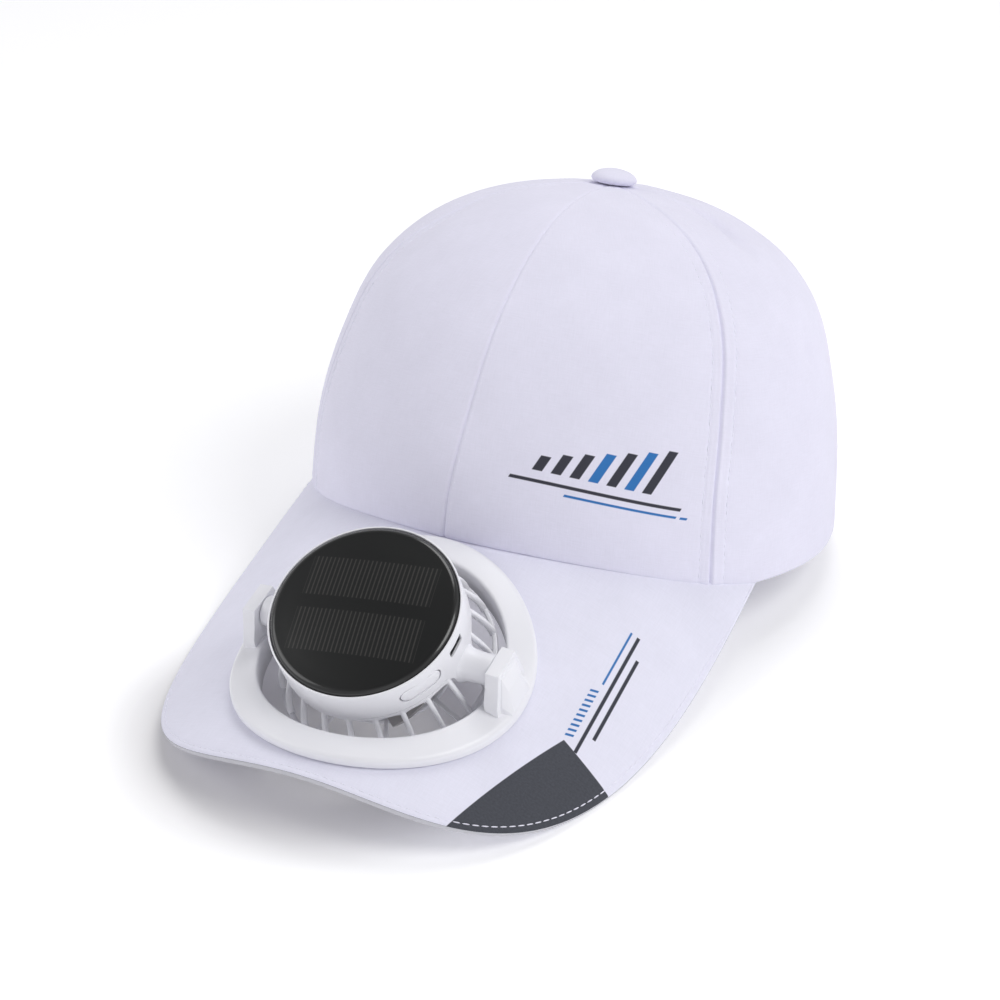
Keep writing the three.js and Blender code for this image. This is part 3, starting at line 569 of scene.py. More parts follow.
class Draft:
    """The points, faces and map places of one piece while it is being drawn."""

    def __init__(self) -> None:
        """Starts empty."""
        self.points: list[Array] = []
        self.maps: list[Array] = []
        self.faces: list[list[int]] = []
        self.count = 0

    def add(self, points: Array, maps: Array | None = None) -> Array:
        """Adds points.

        Args:
            points: places, with 3 numbers on the last axis.
            maps: map places, with 2 numbers on the last axis.

        Returns:
            The points' numbers, in the shape that they came in.
        """
        flat = np.asarray(points, float).reshape(-1, 3)
        self.points.append(flat)
        self.maps.append(np.zeros((len(flat), 2)) if maps is None else np.asarray(maps, float).reshape(-1, 2))
        numbers = np.arange(self.count, self.count + len(flat))
        self.count += len(flat)
        return numbers.reshape(np.asarray(points).shape[:-1])

    def quads(self, numbers: Array, wrap: bool = False) -> None:
        """Joins a grid of numbered points with quads.

        Args:
            numbers: the grid.
            wrap: whether the last row joins the first.
        """
        grid = np.vstack([numbers, numbers[:1]]) if wrap else numbers
        faces = np.stack([grid[:-1, :-1], grid[1:, :-1], grid[1:, 1:], grid[:-1, 1:]], -1)
        self.faces += faces.reshape(-1, 4).tolist()

    def strip(self, first: Array, second: Array) -> None:
        """Joins two lines of numbered points."""
        self.quads(np.stack([first, second]))

    def grid(self, points: Array, maps: Array | None = None, wrap: bool = False) -> Array:
        """Adds a grid of points and its faces; see add and quads."""
        numbers = self.add(points, maps)
        self.quads(numbers, wrap)
        return numbers

    def tube(self, loops: Array, maps: Array | None = None, ends: bool = True) -> Array:
        """Adds closed loops joined one to the next.

        Args:
            loops: (loop, point, 3) places.
            maps: map places.
            ends: whether the first and last loops are filled.

        Returns:
            The points' numbers.
        """
        numbers = self.add(loops, maps)
        self.quads(np.concatenate([numbers, numbers[:, :1]], 1))
        if ends:
            self.faces += [numbers[0][::-1].tolist(), numbers[-1].tolist()]
        return numbers

    def shell(self, outer: Array, inner: Array, maps: Array) -> None:
        """Adds a sheet with two faces and the rim that joins them.

        Args:
            outer: grid of places on the outer face.
            inner: grid of places on the inner face.
            maps: the grid's map places.
        """
        a, b = self.grid(outer, maps), self.grid(inner, maps + INNER_SHIFT)
        for first, second in ((a[0], b[0]), (a[-1], b[-1]), (a[:, 0], b[:, 0]), (a[:, -1], b[:, -1])):
            self.strip(first, second)

    def piece(
        self,
        name: str,
        place: Placer,
        finish: bpy.types.Material,
        map_name: str = "cloth",
        crease: float = math.radians(40),
    ) -> bpy.types.Object:
        """Turns the draft into an object.

        Args:
            name: the object's name.
            place: puts points in the hat's frame, in metres.
            finish: the material.
            map_name: the map's name.
            crease: edges sharper than this angle stay crisp.

        Returns:
            The object, linked to the scene.
        """
        mesh = bpy.data.meshes.new(name)
        mesh.from_pydata(place(np.concatenate(self.points)).tolist(), [], self.faces)
        corners = np.empty(len(mesh.loops), np.int32)
        mesh.loops.foreach_get("vertex_index", corners)
        layer = mesh.uv_layers.new(name=map_name)
        layer.data.foreach_set("uv", np.concatenate(self.maps)[corners].astype(np.float32).ravel())
        work = bmesh.new()
        work.from_mesh(mesh)
        bmesh.ops.remove_doubles(work, verts=work.verts, dist=2e-6)
        bmesh.ops.recalc_face_normals(work, faces=work.faces)
        work.to_mesh(mesh)
        work.free()
        mesh.materials.append(finish)
        mesh.shade_smooth()
        mesh.set_sharp_from_angle(angle=crease)
        piece = bpy.data.objects.new(name, mesh)
        bpy.context.scene.collection.objects.link(piece)
        return piece


def put(piece: bpy.types.Object, body: Body, slot: Slot, *nodes: str) -> bpy.types.Object:
    """Ties a piece to its body, and hides the solids that it stands for.

    Args:
        piece: the piece.
        body: the body that it rides on.
        slot: the slot that it takes its finish from; not used.
        nodes: the solids that it stands for.

    Returns:
        The piece.
    """
    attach(piece, body.value)
    if nodes:
        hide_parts(*nodes)
    LOG.info("%s: %d faces, on %s", piece.name, len(piece.data.polygons), body.value)
    return piece


def turned(rows: Sequence[tuple[float, float]], sides: int) -> Array:
    """Turns a profile about Z.

    Args:
        rows: radius and height of each point of the profile.
        sides: how many steps go round.

    Returns:
        (row, side, 3) places.
    """
    profile = np.asarray(rows, float)
    angle = np.arange(sides) * 2 * math.pi / sides
    radius, height = profile[:, :1], profile[:, 1:]
    return np.stack(
        [radius * np.cos(angle), radius * np.sin(angle), height + 0 * angle], -1
    )


def rounded(corners: Sequence[tuple[float, float, float]], steps: int = 4) -> list[tuple[float, float]]:
    """Rounds the corners of a closed outline.

    Args:
        corners: each corner's two coordinates and its radius.
        steps: how many steps round a corner.

    Returns:
        The outline's points.
    """
    made = []
    count = len(corners)
    for i, (x, y, radius) in enumerate(corners):
        here = Vector((x, y))
        back = Vector(corners[i - 1][:2]) - here
        ahead = Vector(corners[(i + 1) % count][:2]) - here
        reach = min(radius, back.length * 0.48, ahead.length * 0.48)
        if reach <= 0:
            made.append((x, y))
            continue
        start, end = here + back.normalized() * reach, here + ahead.normalized() * reach
        for k in range(steps + 1):
            t = k / steps
            point = start * (1 - t) ** 2 + here * 2 * t * (1 - t) + end * t**2
            made.append((point.x, point.y))
    return made


@dataclass(frozen=True)
class Thread:
    """Sewing thread: the pitch, length, width and height of its stitches, in millimetres."""

    pitch: float = 2.9
    length: float = 2.15
    width: float = 0.52
    height: float = 0.3
    around: int = 6
    along: int = 5

    def lay(self, draft: Draft, path: Array, normals: Array) -> None:
        """Sews along a path.

        Args:
            draft: what the stitches are added to.
            path: (n, 3) places.
            normals: (n, 3) directions out of the cloth.
        """
        gaps = np.linalg.norm(np.diff(path, axis=0), axis=1)
        run = np.concatenate([[0], np.cumsum(gaps)])
        count = int(run[-1] // self.pitch)
        if count < 1:
            return
        middles = (np.arange(count) + 0.5) * self.pitch
        at = lambda s, v: np.stack([np.interp(s, run, v[:, k]) for k in range(3)], -1)
        centre, up = at(middles, path), at(middles, normals)
        ahead = at(middles + self.length / 2, path) - at(middles - self.length / 2, path)
        ahead /= np.linalg.norm(ahead, axis=1, keepdims=True)
        up -= (up * ahead).sum(1, keepdims=True) * ahead
        up /= np.linalg.norm(up, axis=1, keepdims=True)
        aside = np.cross(ahead, up)
        t = np.linspace(-1, 1, self.along)
        turn = np.arange(self.around) * 2 * math.pi / self.around
        swell = np.sqrt(np.clip(1 - t**4, 0.04, 1))
        shape = np.stack(
            [
                np.repeat(t[:, None] * self.length / 2, self.around, 1),
                swell[:, None] * np.cos(turn) * self.width / 2,
                swell[:, None] * np.sin(turn) * self.height - (t**2)[:, None] * self.height * 0.5,
            ],
            -1,
        )
        for c, a, s, u in zip(centre, ahead, aside, up):
            draft.tube(c + shape[..., :1] * a + shape[..., 1:2] * s + shape[..., 2:] * u)


# Frames and cloth surfaces, in millimetres


@dataclass(frozen=True)
class CapFrame:
    """How the cap leans back on the peak's corners, and where its own frame lies."""

    lean: float = math.radians(9.413470885224342)
    shift: tuple[float, float, float] = (0.0, 46.34659998012621, 14.52157217288123)

    def matrix(self) -> Matrix:
        """From the cap's frame to the hat's, both in millimetres."""
        return Matrix.Translation(self.shift) @ Matrix.Rotation(-self.lean, 4, "X")

    def place(self, points: Array) -> Array:
        """Puts points of the cap's frame in the hat's, in metres."""
        return moved(self.matrix(), points)


def moved(matrix: Matrix, points: Array) -> Array:
    """Moves points by a matrix in millimetres, and gives them in metres."""
    m = np.array(matrix, float)
    return (points @ m[:3, :3].T + m[:3, 3]) * MM


@dataclass(frozen=True)
class CrownRow:
    """A level of the crown's outline, in shares of its height and reaches."""

    height: float
    front: float
    side: float
    back: float


@dataclass(frozen=True)
class Dent:
    """A soft crease: where it is, which way it runs, and its sizes in shares of the height."""

    azimuth: float
    row: float
    turn: float
    length: float
    width: float
    depth: float


@dataclass(frozen=True)
class Seam:
    """A seam's azimuth at the rim, and how far it swings up to the apex."""

    azimuth: float
    swing: float
    foot: float = 0.0
    late: float = 0.0
    relief: float = 1.0

    def at(self, row: Array) -> Array:
        """The seam's azimuth at rows."""
        row = np.clip(row, 0, 1)
        return self.azimuth + self.swing * row**1.75 + self.foot * (1 - row) ** 5 - self.late * row**6

    def flipped(self) -> "Seam":
        """The same seam on the other side."""
        return Seam(-self.azimuth, -self.swing, -self.foot, -self.late, self.relief)


def spline(values: Sequence[float], where: Array) -> Array:
    """A smooth curve through evenly spaced values.

    Args:
        values: the values.
        where: places along them, counted in values.

    Returns:
        The curve's values there.
    """
    points = np.asarray(values, float)
    last = len(points) - 1
    i = np.clip(np.floor(where).astype(int), 0, last)
    t = where - i
    a, b = points[np.clip(i - 1, 0, last)], points[i]
    c, d = points[np.clip(i + 1, 0, last)], points[np.clip(i + 2, 0, last)]
    v0, v1 = (c - a) / 2, (d - b) / 2
    return (2 * b - 2 * c + v0 + v1) * t**3 + (3 * c - 3 * b - 2 * v0 - v1) * t**2 + v0 * t + b


@dataclass(frozen=True)
class Crown:
    """The crown's outer face."""

    half_width: float = 93.0
    front: float = 96.0
    back: float = 96.0
    height: float = 110.0
    plan_power: float = 1.86
    apex_shift: float = 14.0
    apex_lean: float = math.radians(7.4)
    run: float = 1.4
    rows: tuple[CrownRow, ...] = (
        CrownRow(0.0, 1.0, 1.01, 1.035),
        CrownRow(0.27, 1.045, 0.98, 0.995),
        CrownRow(0.49, 0.975, 0.925, 0.945),
        CrownRow(0.7, 0.85, 0.825, 0.86),
        CrownRow(0.862, 0.64, 0.63, 0.72),
        CrownRow(0.964, 0.37, 0.35, 0.43),
        CrownRow(1.0, 0.0, 0.0, 0.0),
    )
    dents: tuple[Dent, ...] = (
        Dent(math.radians(90), 0.795, math.radians(52), 0.3, 0.05, 0.027),
        Dent(math.radians(86), 0.43, math.radians(-38), 0.12, 0.04, 0.012),
        Dent(math.radians(-55), 0.69, math.radians(20), 0.22, 0.12, 0.014),
        Dent(math.radians(-95), 0.55, math.radians(-48), 0.26, 0.06, 0.014),
        Dent(math.radians(150), 0.5, math.radians(60), 0.3, 0.07, 0.015),
    )

    def profile(self, column: str, row: Array) -> Array:
        """A column of the outline, read smoothly at rows."""
        rising = [getattr(r, column) for r in self.rows]
        sign = 1 if column == "height" else -1
        falling = [sign * value for value in rising[-2::-1]]
        return spline(rising + falling, np.clip(row, 0, 1.01) * (len(rising) - 1))

    def form(self, azimuth: Array, row: Array) -> Array:
        """The smooth form.

        Args:
            azimuth: angle from the front towards the wearer's left.
            row: 0 at the rim, 1 at the apex.

        Returns:
            Places, with 3 numbers on the last axis.
        """
        azimuth, row = np.broadcast_arrays(np.asarray(azimuth, float), np.asarray(row, float))
        across, along = np.sin(azimuth), np.cos(azimuth)
        height = self.profile("height", row)
        reach = np.where(along > 0, self.profile("front", row) * self.front, self.profile("back", row) * self.back)
        half = self.profile("side", row) * self.half_width
        power = self.plan_power
        swell = (np.abs(across) ** power + np.abs(along) ** power) ** (-1 / power)
        y = -reach * swell * along
        lean = self.apex_lean * height**2
        return np.stack(
            [
                half * swell * across,
                y * np.cos(lean) + self.apex_shift * height**2,
                height * self.height - y * np.sin(lean),
            ],
            -1,
        )

    def normal(self, azimuth: Array, row: Array) -> Array:
        """Directions out of the smooth form; see form."""
        low = np.clip(row, NUDGE, 1 - NUDGE)
        across = self.form(azimuth + NUDGE, row) - self.form(azimuth - NUDGE, row)
        up = self.form(azimuth, low + NUDGE) - self.form(azimuth, low - NUDGE)
        out = np.cross(across, up)
        return out / np.linalg.norm(out, axis=-1, keepdims=True)

    def dented(self, azimuth: Array, row: Array) -> Array:
        """How far the creases pull the cloth in."""
        depth = np.zeros(np.broadcast(azimuth, row).shape)
        for dent in self.dents:
            turn = np.angle(np.exp(1j * (azimuth - dent.azimuth)))
            across = turn * self.half_width / self.height
            up = (row - dent.row) * self.run
            along = across * math.cos(dent.turn) + up * math.sin(dent.turn)
            aside = up * math.cos(dent.turn) - across * math.sin(dent.turn)
            fall = (along / dent.length) ** 2 * 4 + (aside / dent.width) ** 2
            depth += dent.depth * self.height * np.exp(-fall)
        return depth

    def point(self, azimuth: Array, row: Array, depth: Array | float = 0.0) -> Array:
        """Places in the cloth, a depth below its outer face."""
        inward = self.dented(azimuth, row) + depth
        return self.form(azimuth, row) - self.normal(azimuth, row) * inward[..., None]


@dataclass(frozen=True)
class Peak:
    """The peak's arched and sloping surface."""

    thickness: float = 3.0
    depth: float = 102.3
    slope: float = math.radians(23.5)
    joint_height: float = 15.4
    arch_radius: float = 98.0
    tightening: float = 0.078
    outline_back: float = 78.7
    outline_power: float = 3.6
    taper: float = 0.045
    end: float = math.radians(66)
    end_proud: float = -0.6
    end_fade: float = math.radians(13)
    tuck: float = 1.4

    def drop(self, x: Array) -> Array:
        """How far the arch has fallen at a distance from the middle line."""
        return x**2 / (2 * self.arch_radius) * (1 + self.tightening * (x / self.arch_radius) ** 2)

    def fall(self, x: Array) -> Array:
        """The angle at which the arch falls away."""
        return np.arctan((self.drop(x + NUDGE) - self.drop(x - NUDGE)) / (2 * NUDGE))

    @property
    def down(self) -> Array:
        """The direction down the slope."""
        return np.array([0, -math.cos(self.slope), -math.sin(self.slope)])

    @property
    def off(self) -> Array:
        """The direction off the slope."""
        return np.array([0, -math.sin(self.slope), math.cos(self.slope)])


def halving(rising: Callable[[Array], Array], low: Array, high: Array) -> Array:
    """Where a rising function passes zero, by halving.

    Args:
        rising: the function.
        low: a place below.
        high: a place above.

    Returns:
        The places.
    """
    low, high = np.array(low, float), np.array(high, float)
    for _ in range(34):
        middle = (low + high) / 2
        under = rising(middle) < 0
        low, high = np.where(under, middle, low), np.where(under, high, middle)
    return (low + high) / 2


@dataclass
class Cap:
    """The crown and the peak together: where they meet, and where the rim runs."""

    crown: Crown = field(default_factory=Crown)
    peak: Peak = field(default_factory=Peak)
    wall: float = 1.6
    clearance: float = 0.12
    arch_half: float = 38.0
    arch_height: float = 43.0

    def __post_init__(self) -> None:
        """Works out the joint."""
        row = halving(
            lambda r: self.crown.point(np.zeros_like(r), r)[..., 2] - self.peak.joint_height,
            np.zeros(1),
            np.full(1, 0.5),
        )
        y = self.crown.point(np.zeros(1), row)[0, 1]
        self.joint = np.array([0.0, y, self.peak.joint_height])
        corner = self.peak_base(np.ones(1), 0.0)
        self.sweep = float(
            halving(
                lambda a: corner[1] - self.outline(np.ones(1), a, 1.0)[1],
                np.zeros(1),
                np.full(1, math.pi / 2 - NUDGE),
            )[0]
        )
        reach = self.outline(np.ones(1), self.sweep, 1.0)[0]
        self.half_width = float((corner[0] + self.peak.end_proud)[0] / reach[0])

    def on_peak(self, x: Array, ahead: Array, rise: Array | float = 0.0) -> Array:
        """Places on the peak.

        Args:
            x: across.
            ahead: down the slope from the joint.
            rise: off the top face.

        Returns:
            Places, with 3 numbers on the last axis.
        """
        x, ahead, rise = np.broadcast_arrays(*[np.asarray(v, float) for v in (x, ahead, rise)])
        fall = self.peak.fall(x)
        up = rise * np.cos(fall) - self.peak.drop(x)
        made = self.joint + ahead[..., None] * self.peak.down + up[..., None] * self.peak.off
        made[..., 0] = x + rise * np.sin(fall)
        return made

    def peak_normal(self, x: Array) -> Array:
        """Directions off the peak's top face."""
        fall = self.peak.fall(x)
        made = np.cos(fall)[..., None] * self.peak.off
        made[..., 0] = np.sin(fall)
        return made

    def rim_height(self, azimuth: Array, point: Array) -> Array:
        """Height of the crown's lower edge: on the peak, in the base plane, or over the arch."""
        turn = np.abs(np.angle(np.exp(1j * azimuth)))
        t = np.clip((turn - self.peak.end) / self.peak.end_fade, 0, 1)
        over = 1 - t * t * (3 - 2 * t)
        x, y = point[..., 0], point[..., 1]
        top = self.joint[2] + (y - self.joint[1]) * math.tan(self.peak.slope)
        top = top - self.peak.drop(x) / math.cos(self.peak.slope) + self.clearance
        arch = self.arch_height * np.sqrt(np.clip(1 - (x / self.arch_half) ** 2, 0, 1))
        return np.where(turn > math.pi / 2, arch, over * np.maximum(top, 0))

    def rim_row(self, azimuth_at: Callable[[Array], Array], depth: float, shape: Array) -> Array:
        """The row of the crown's lower edge in each column.

        Args:
            azimuth_at: each column's azimuth at a row.
            depth: depth below the outer face.
            shape: an array with one number for each column.

        Returns:
            The rows.
        """

        def clear(row: Array) -> Array:
            """How far the cloth is above the rim at a row."""
            azimuth = azimuth_at(row)
            point = self.crown.point(azimuth, row, depth)
            return point[..., 2] - self.rim_height(azimuth, point)

        low = np.zeros_like(shape, float)
        found = halving(clear, low, low + 0.6)
        return np.where(clear(low) >= 0, 0.0, found)

    def peak_base(self, turn: Array, depth: float) -> tuple[Array, Array]:
        """Where the peak's inner edge lies: across, and down the slope."""
        azimuth = turn * self.peak.end
        row = self.rim_row(lambda _: azimuth, depth, turn)
        point = self.crown.point(azimuth, row, depth)
        slope = self.peak.slope
        ahead = (self.joint[1] - point[..., 1] + self.peak.drop(point[..., 0]) * math.sin(slope)) / math.cos(slope)
        return point[..., 0], ahead

    def outline(self, turn: Array, sweep: float | Array, half: float) -> tuple[Array, Array]:
        """The peak's outer outline: across, and down the slope."""
        peak = self.peak
        across, along = np.sin(turn * sweep), np.cos(turn * sweep)
        power = peak.outline_power
        swell = (np.abs(across) ** power + np.abs(along) ** power) ** (-1 / power)
        share = swell * along
        x = half * swell * across * (1 - peak.taper * (1 - share))
        return x, (peak.depth + peak.outline_back) * share - peak.outline_back

    def edge(self, turn: Array) -> tuple[Array, Array]:
        """The peak's edge; see outline."""
        return self.outline(turn, self.sweep, self.half_width)


# Sub-assemblies


@dataclass
class Panel:
    """One of the crown's six panels, from one seam to the next."""

    name: str
    first: Seam
    last: Seam
    columns: int
    stitched: tuple[float, float]


@dataclass
class CrownCloth:
    """The six sewn panels, their stitching and the covered button."""

    cap: Cap
    frame: CapFrame
    finish: bpy.types.Material
    crest: bpy.types.Material
    thread_finish: bpy.types.Material
    thread: Thread = Thread(pitch=2.8, length=2.0, width=0.46, height=0.26)
    fine_thread: Thread = Thread(pitch=2.3, length=1.5, width=0.3, height=0.16)
    seam_depth: float = 0.72
    seam_width: float = 0.5
    swell: float = 0.34
    groove: float = 0.3
    topstitch: float = 3.0
    apex_radius: float = 2.6
    edge_steps: tuple[float, ...] = (
        0.0, 0.2, 0.42, 0.7, 1.05, 1.5, 1.95, 2.5, 3.0, 3.4, 3.8, 4.2, 4.6, 5.0, 5.4, 5.8, 6.3, 7.2, 8.8,
    )
    row_count: int = 72
    front: Seam = Seam(0.0, 0.0, foot=math.radians(-2.4), relief=0.5)
    side: Seam = Seam(math.radians(53.6), math.radians(10.0), late=math.radians(13.0))
    rear: Seam = Seam(math.radians(118), math.radians(2))
    back: Seam = Seam(math.pi, 0.0)

    def panels(self) -> list[Panel]:
        """The six panels."""
        side, rear, back = [seam.flipped() for seam in (self.side, self.rear, self.back)]
        return [
            Panel("front_left_panel", self.front, self.side, 30, (1.5, 4.2)),
            Panel("side_left_panel", self.side, self.rear, 30, (5.4, 4.6)),
            Panel("back_left_panel", self.rear, self.back, 60, (4.6, 4.6)),
            Panel("front_right_panel", side, self.front, 30, (4.2, 0.0)),
            Panel("side_right_panel", rear, side, 30, (4.6, 5.4)),
            Panel("back_right_panel", back, rear, 60, (4.6, 4.6)),
        ]

    def scale(self, azimuth: Array, row: Array) -> Array:
        """Millimetres per radian across the cloth."""
        crown = self.cap.crown
        step = crown.form(azimuth + NUDGE, row) - crown.form(azimuth - NUDGE, row)
        return np.maximum(np.linalg.norm(step, axis=-1) / (2 * NUDGE), 0.05)

    def columns(self, panel: Panel, count: int, column: Array, row: Array) -> tuple[Array, Array, Array, Array]:
        """Where columns lie at rows, close together beside the seams.

        Args:
            panel: the panel.
            count: how many columns it has.
            column: the columns' numbers.
            row: the rows.

        Returns:
            Azimuths, distances from the first and the last seam, and how much the steps are squeezed.
        """
        steps = np.array(self.edge_steps)
        first, last = panel.first.at(row), panel.last.at(row)
        low, high = self.scale(first, row), self.scale(last, row)
        width = (last - first) * self.scale((first + last) / 2, row)
        squeeze = np.clip(width / (3.2 * steps[-1]), 0.0, 1.0)
        n = len(steps) - 1
        near = np.interp(np.minimum(column, n), np.arange(n + 1), steps) * squeeze
        far = np.interp(np.minimum(count - 1 - column, n), np.arange(n + 1), steps) * squeeze
        share = np.clip((column - n) / (count - 1 - 2 * n), 0, 1)
        start, end = first + near / low, last - far / high
        azimuth = np.where(column <= n, start, np.where(column >= count - 1 - n, end, start + (end - start) * share))
        return azimuth, (azimuth - first) * low, (last - azimuth) * high, squeeze

    def relief(self, panel: Panel, row: Array, near: Array, far: Array, squeeze: Array, run: Array) -> Array:
        """How far the sewing lifts or pulls the cloth.

        Args:
            panel: the panel.
            row: the rows.
            near: distance from the first seam.
            far: distance from the last seam.
            squeeze: how much the columns are squeezed.
            run: distance up the panel.

        Returns:
            The lift.
        """
        lift = np.zeros_like(near)
        pucker = 1 + 0.35 * np.cos(run * 2 * math.pi / self.thread.pitch)
        fade = 1 - 0.65 * np.clip((row - 0.5) / 0.3, 0, 1)
        for distance, offset, seam in zip((near, far), panel.stitched, (panel.first, panel.last)):
            share = seam.relief * squeeze * fade
            lift -= self.seam_depth * np.exp(-((distance / self.seam_width) ** 2)) * (0.3 + 0.7 * share)
            ridge = np.exp(-(((distance - 1.15) / 0.75) ** 2))
            lift += self.swell * 0.6 * ridge * share
            if offset:
                plateau = 1 / (1 + np.exp((distance - offset - 0.5) / 0.35))
                lift += self.swell * 0.5 * plateau * share * np.clip(distance / 1.2, 0, 1)
                dip = np.exp(-(((distance - offset) / 0.6) ** 2))
                lift -= self.groove * dip * pucker * share**2
        return lift

    def drape(self, azimuth: Array, row: Array) -> Array:
        """Slow, shallow unevenness of the cloth."""
        return 0.22 * np.sin(azimuth * 5.3 + row * 4.1 + 0.6) * np.sin(row * 7.7 + azimuth * 2.2) * (1 - row**4)

    def sheet(self, panel: Panel) -> tuple[Array, Array, Array, float]:
        """The panel's cloth.

        Args:
            panel: the panel.

        Returns:
            Its outer and inner grids, its map, and its flat area in square millimetres.
        """
        crown = self.cap.crown
        n = len(self.edge_steps)
        count = panel.columns + 2 * n
        column = np.arange(count, dtype=float)
        apex = crown.form(np.zeros(1), np.ones(1))[0]

        def away(row: Array) -> Array:
            """How far inside the apex hole a row lies."""
            azimuth = self.columns(panel, count, column, row)[0]
            gap = crown.form(azimuth, row)[..., :2] - apex[:2]
            return self.apex_radius - np.linalg.norm(gap, axis=-1)

        top = halving(away, np.full(count, 0.9), np.ones(count))
        share = np.concatenate([[0, 0.002, 0.005, 0.01, 0.018], np.linspace(0.03, 1, self.row_count)])
        grids = []
        for depth in (0.0, self.cap.wall):
            low = self.cap.rim_row(lambda r: self.columns(panel, count, column, r)[0], depth, column)
            row = low + (top - low) * share[:, None]
            azimuth, near, far, squeeze = self.columns(panel, count, column[None, :], row)
            plain = crown.point(azimuth, row, depth)
            gaps = np.linalg.norm(np.diff(plain, axis=0), axis=-1)
            run = np.vstack([np.zeros(count), np.cumsum(gaps, axis=0)])
            lift = self.relief(panel, row, near, far, squeeze, run) if depth == 0 else 0 * run
            hem = 0.8 * np.exp(-run / 0.6) if depth == 0 else 0 * run
            sway = self.drape(azimuth, row)
            points = crown.point(azimuth, row, depth + hem - lift - sway)
            edge = points[0]
            edge[:, 2] = self.cap.rim_height(azimuth[0], edge)
            if depth == 0:
                side = np.linalg.norm(np.diff(plain, axis=1), axis=-1)
                area = float((side[:-1] * gaps[:, :-1]).sum())
                middle = panel.columns // 2 + n
                cross = np.hstack([np.zeros((len(share), 1)), np.cumsum(side, axis=1)])
                maps = np.stack([cross - cross[:, middle : middle + 1], run], -1) * MM
            grids.append(points)
        return grids[0], grids[1], maps, area

    def make_panels(self) -> None:
        """Builds the panels, each a sheet from one seam to the next."""
        for panel in self.panels():
            outer, inner, maps, area = self.sheet(panel)
            draft = Draft()
            draft.shell(outer, inner, maps)
            finish = self.crest if panel.name == "front_left_panel" else self.finish
            piece = draft.piece(f"{panel.name}_cloth", self.frame.place, finish)
            put(piece, Body.CAP, Slot.CLOTH, panel.name)
            width = float(np.ptp(maps[..., 0]))
            length = float(np.ptp(maps[..., 1]))
            area * MM * MM

    def make_stitching(self) -> None:
        """Sews the rows beside the seams."""
        draft = Draft()
        crown = self.cap.crown
        for panel in self.panels():
            for seam, offset, sign in (
                (panel.first, panel.stitched[0], 1),
                (panel.last, panel.stitched[1], -1),
            ):
                if not offset:
                    continue

                def line(row: Array, seam: Seam = seam, aside: float = sign * offset) -> Array:
                    """Azimuth of the row of stitches."""
                    base = seam.at(row)
                    return base + aside / self.scale(base, row)

                low = float(self.cap.rim_row(line, 0.0, np.zeros(1))[0])
                row = np.linspace(low + 0.012, 0.93, 400)
                azimuth = line(row)
                height = (self.swell * 0.25 - self.groove * 0.7) * seam.relief
                lift = height + self.drape(azimuth, row)
                path = crown.point(azimuth, row, -lift)
                thread = self.thread if offset > self.topstitch else self.fine_thread
                thread.lay(draft, path, crown.normal(azimuth, row))
        piece = draft.piece("crown_stitching", self.frame.place, self.thread_finish)
        put(piece, Body.CAP, Slot.CLOTH)

    def make_button(self) -> None:
        """Builds the covered button, gathered a little under its edge."""
        radius, height = 7.9, 5.2
        rows = [(1.7, -3.2), (1.7, 0.0), (5.9, 0.05), (6.9, 0.25), (7.5, 0.75), (7.9, 1.5)]
        dome = [(radius * math.cos(t), 1.5 + (height - 1.5) * math.sin(t)) for t in np.linspace(0.12, 1.5, 14)]
        loops = turned(rows + dome, 96)
        angle = np.arange(96) * 2 * math.pi / 96
        gather = np.exp(-((loops[..., 2] - 0.8) / 1.0) ** 2) * np.cos(angle * 14)
        loops[..., :2] *= (1 + 0.012 * gather)[..., None]
        maps = loops[..., :2] * MM + loops[..., 2:] * MM * 0.3
        draft = Draft()
        draft.tube(loops, maps)
        crown = self.cap.crown
        apex = crown.form(np.zeros(1), np.ones(1))[0] + [0, 0, 0.3]
        lean = Matrix.Translation(apex) @ Matrix.Rotation(-crown.apex_lean, 4, "X")
        matrix = self.frame.matrix() @ lean
        piece = draft.piece("crown_button_cloth", lambda p: moved(matrix, p), self.finish)
        put(piece, Body.CAP, Slot.CLOTH, "crown_button")


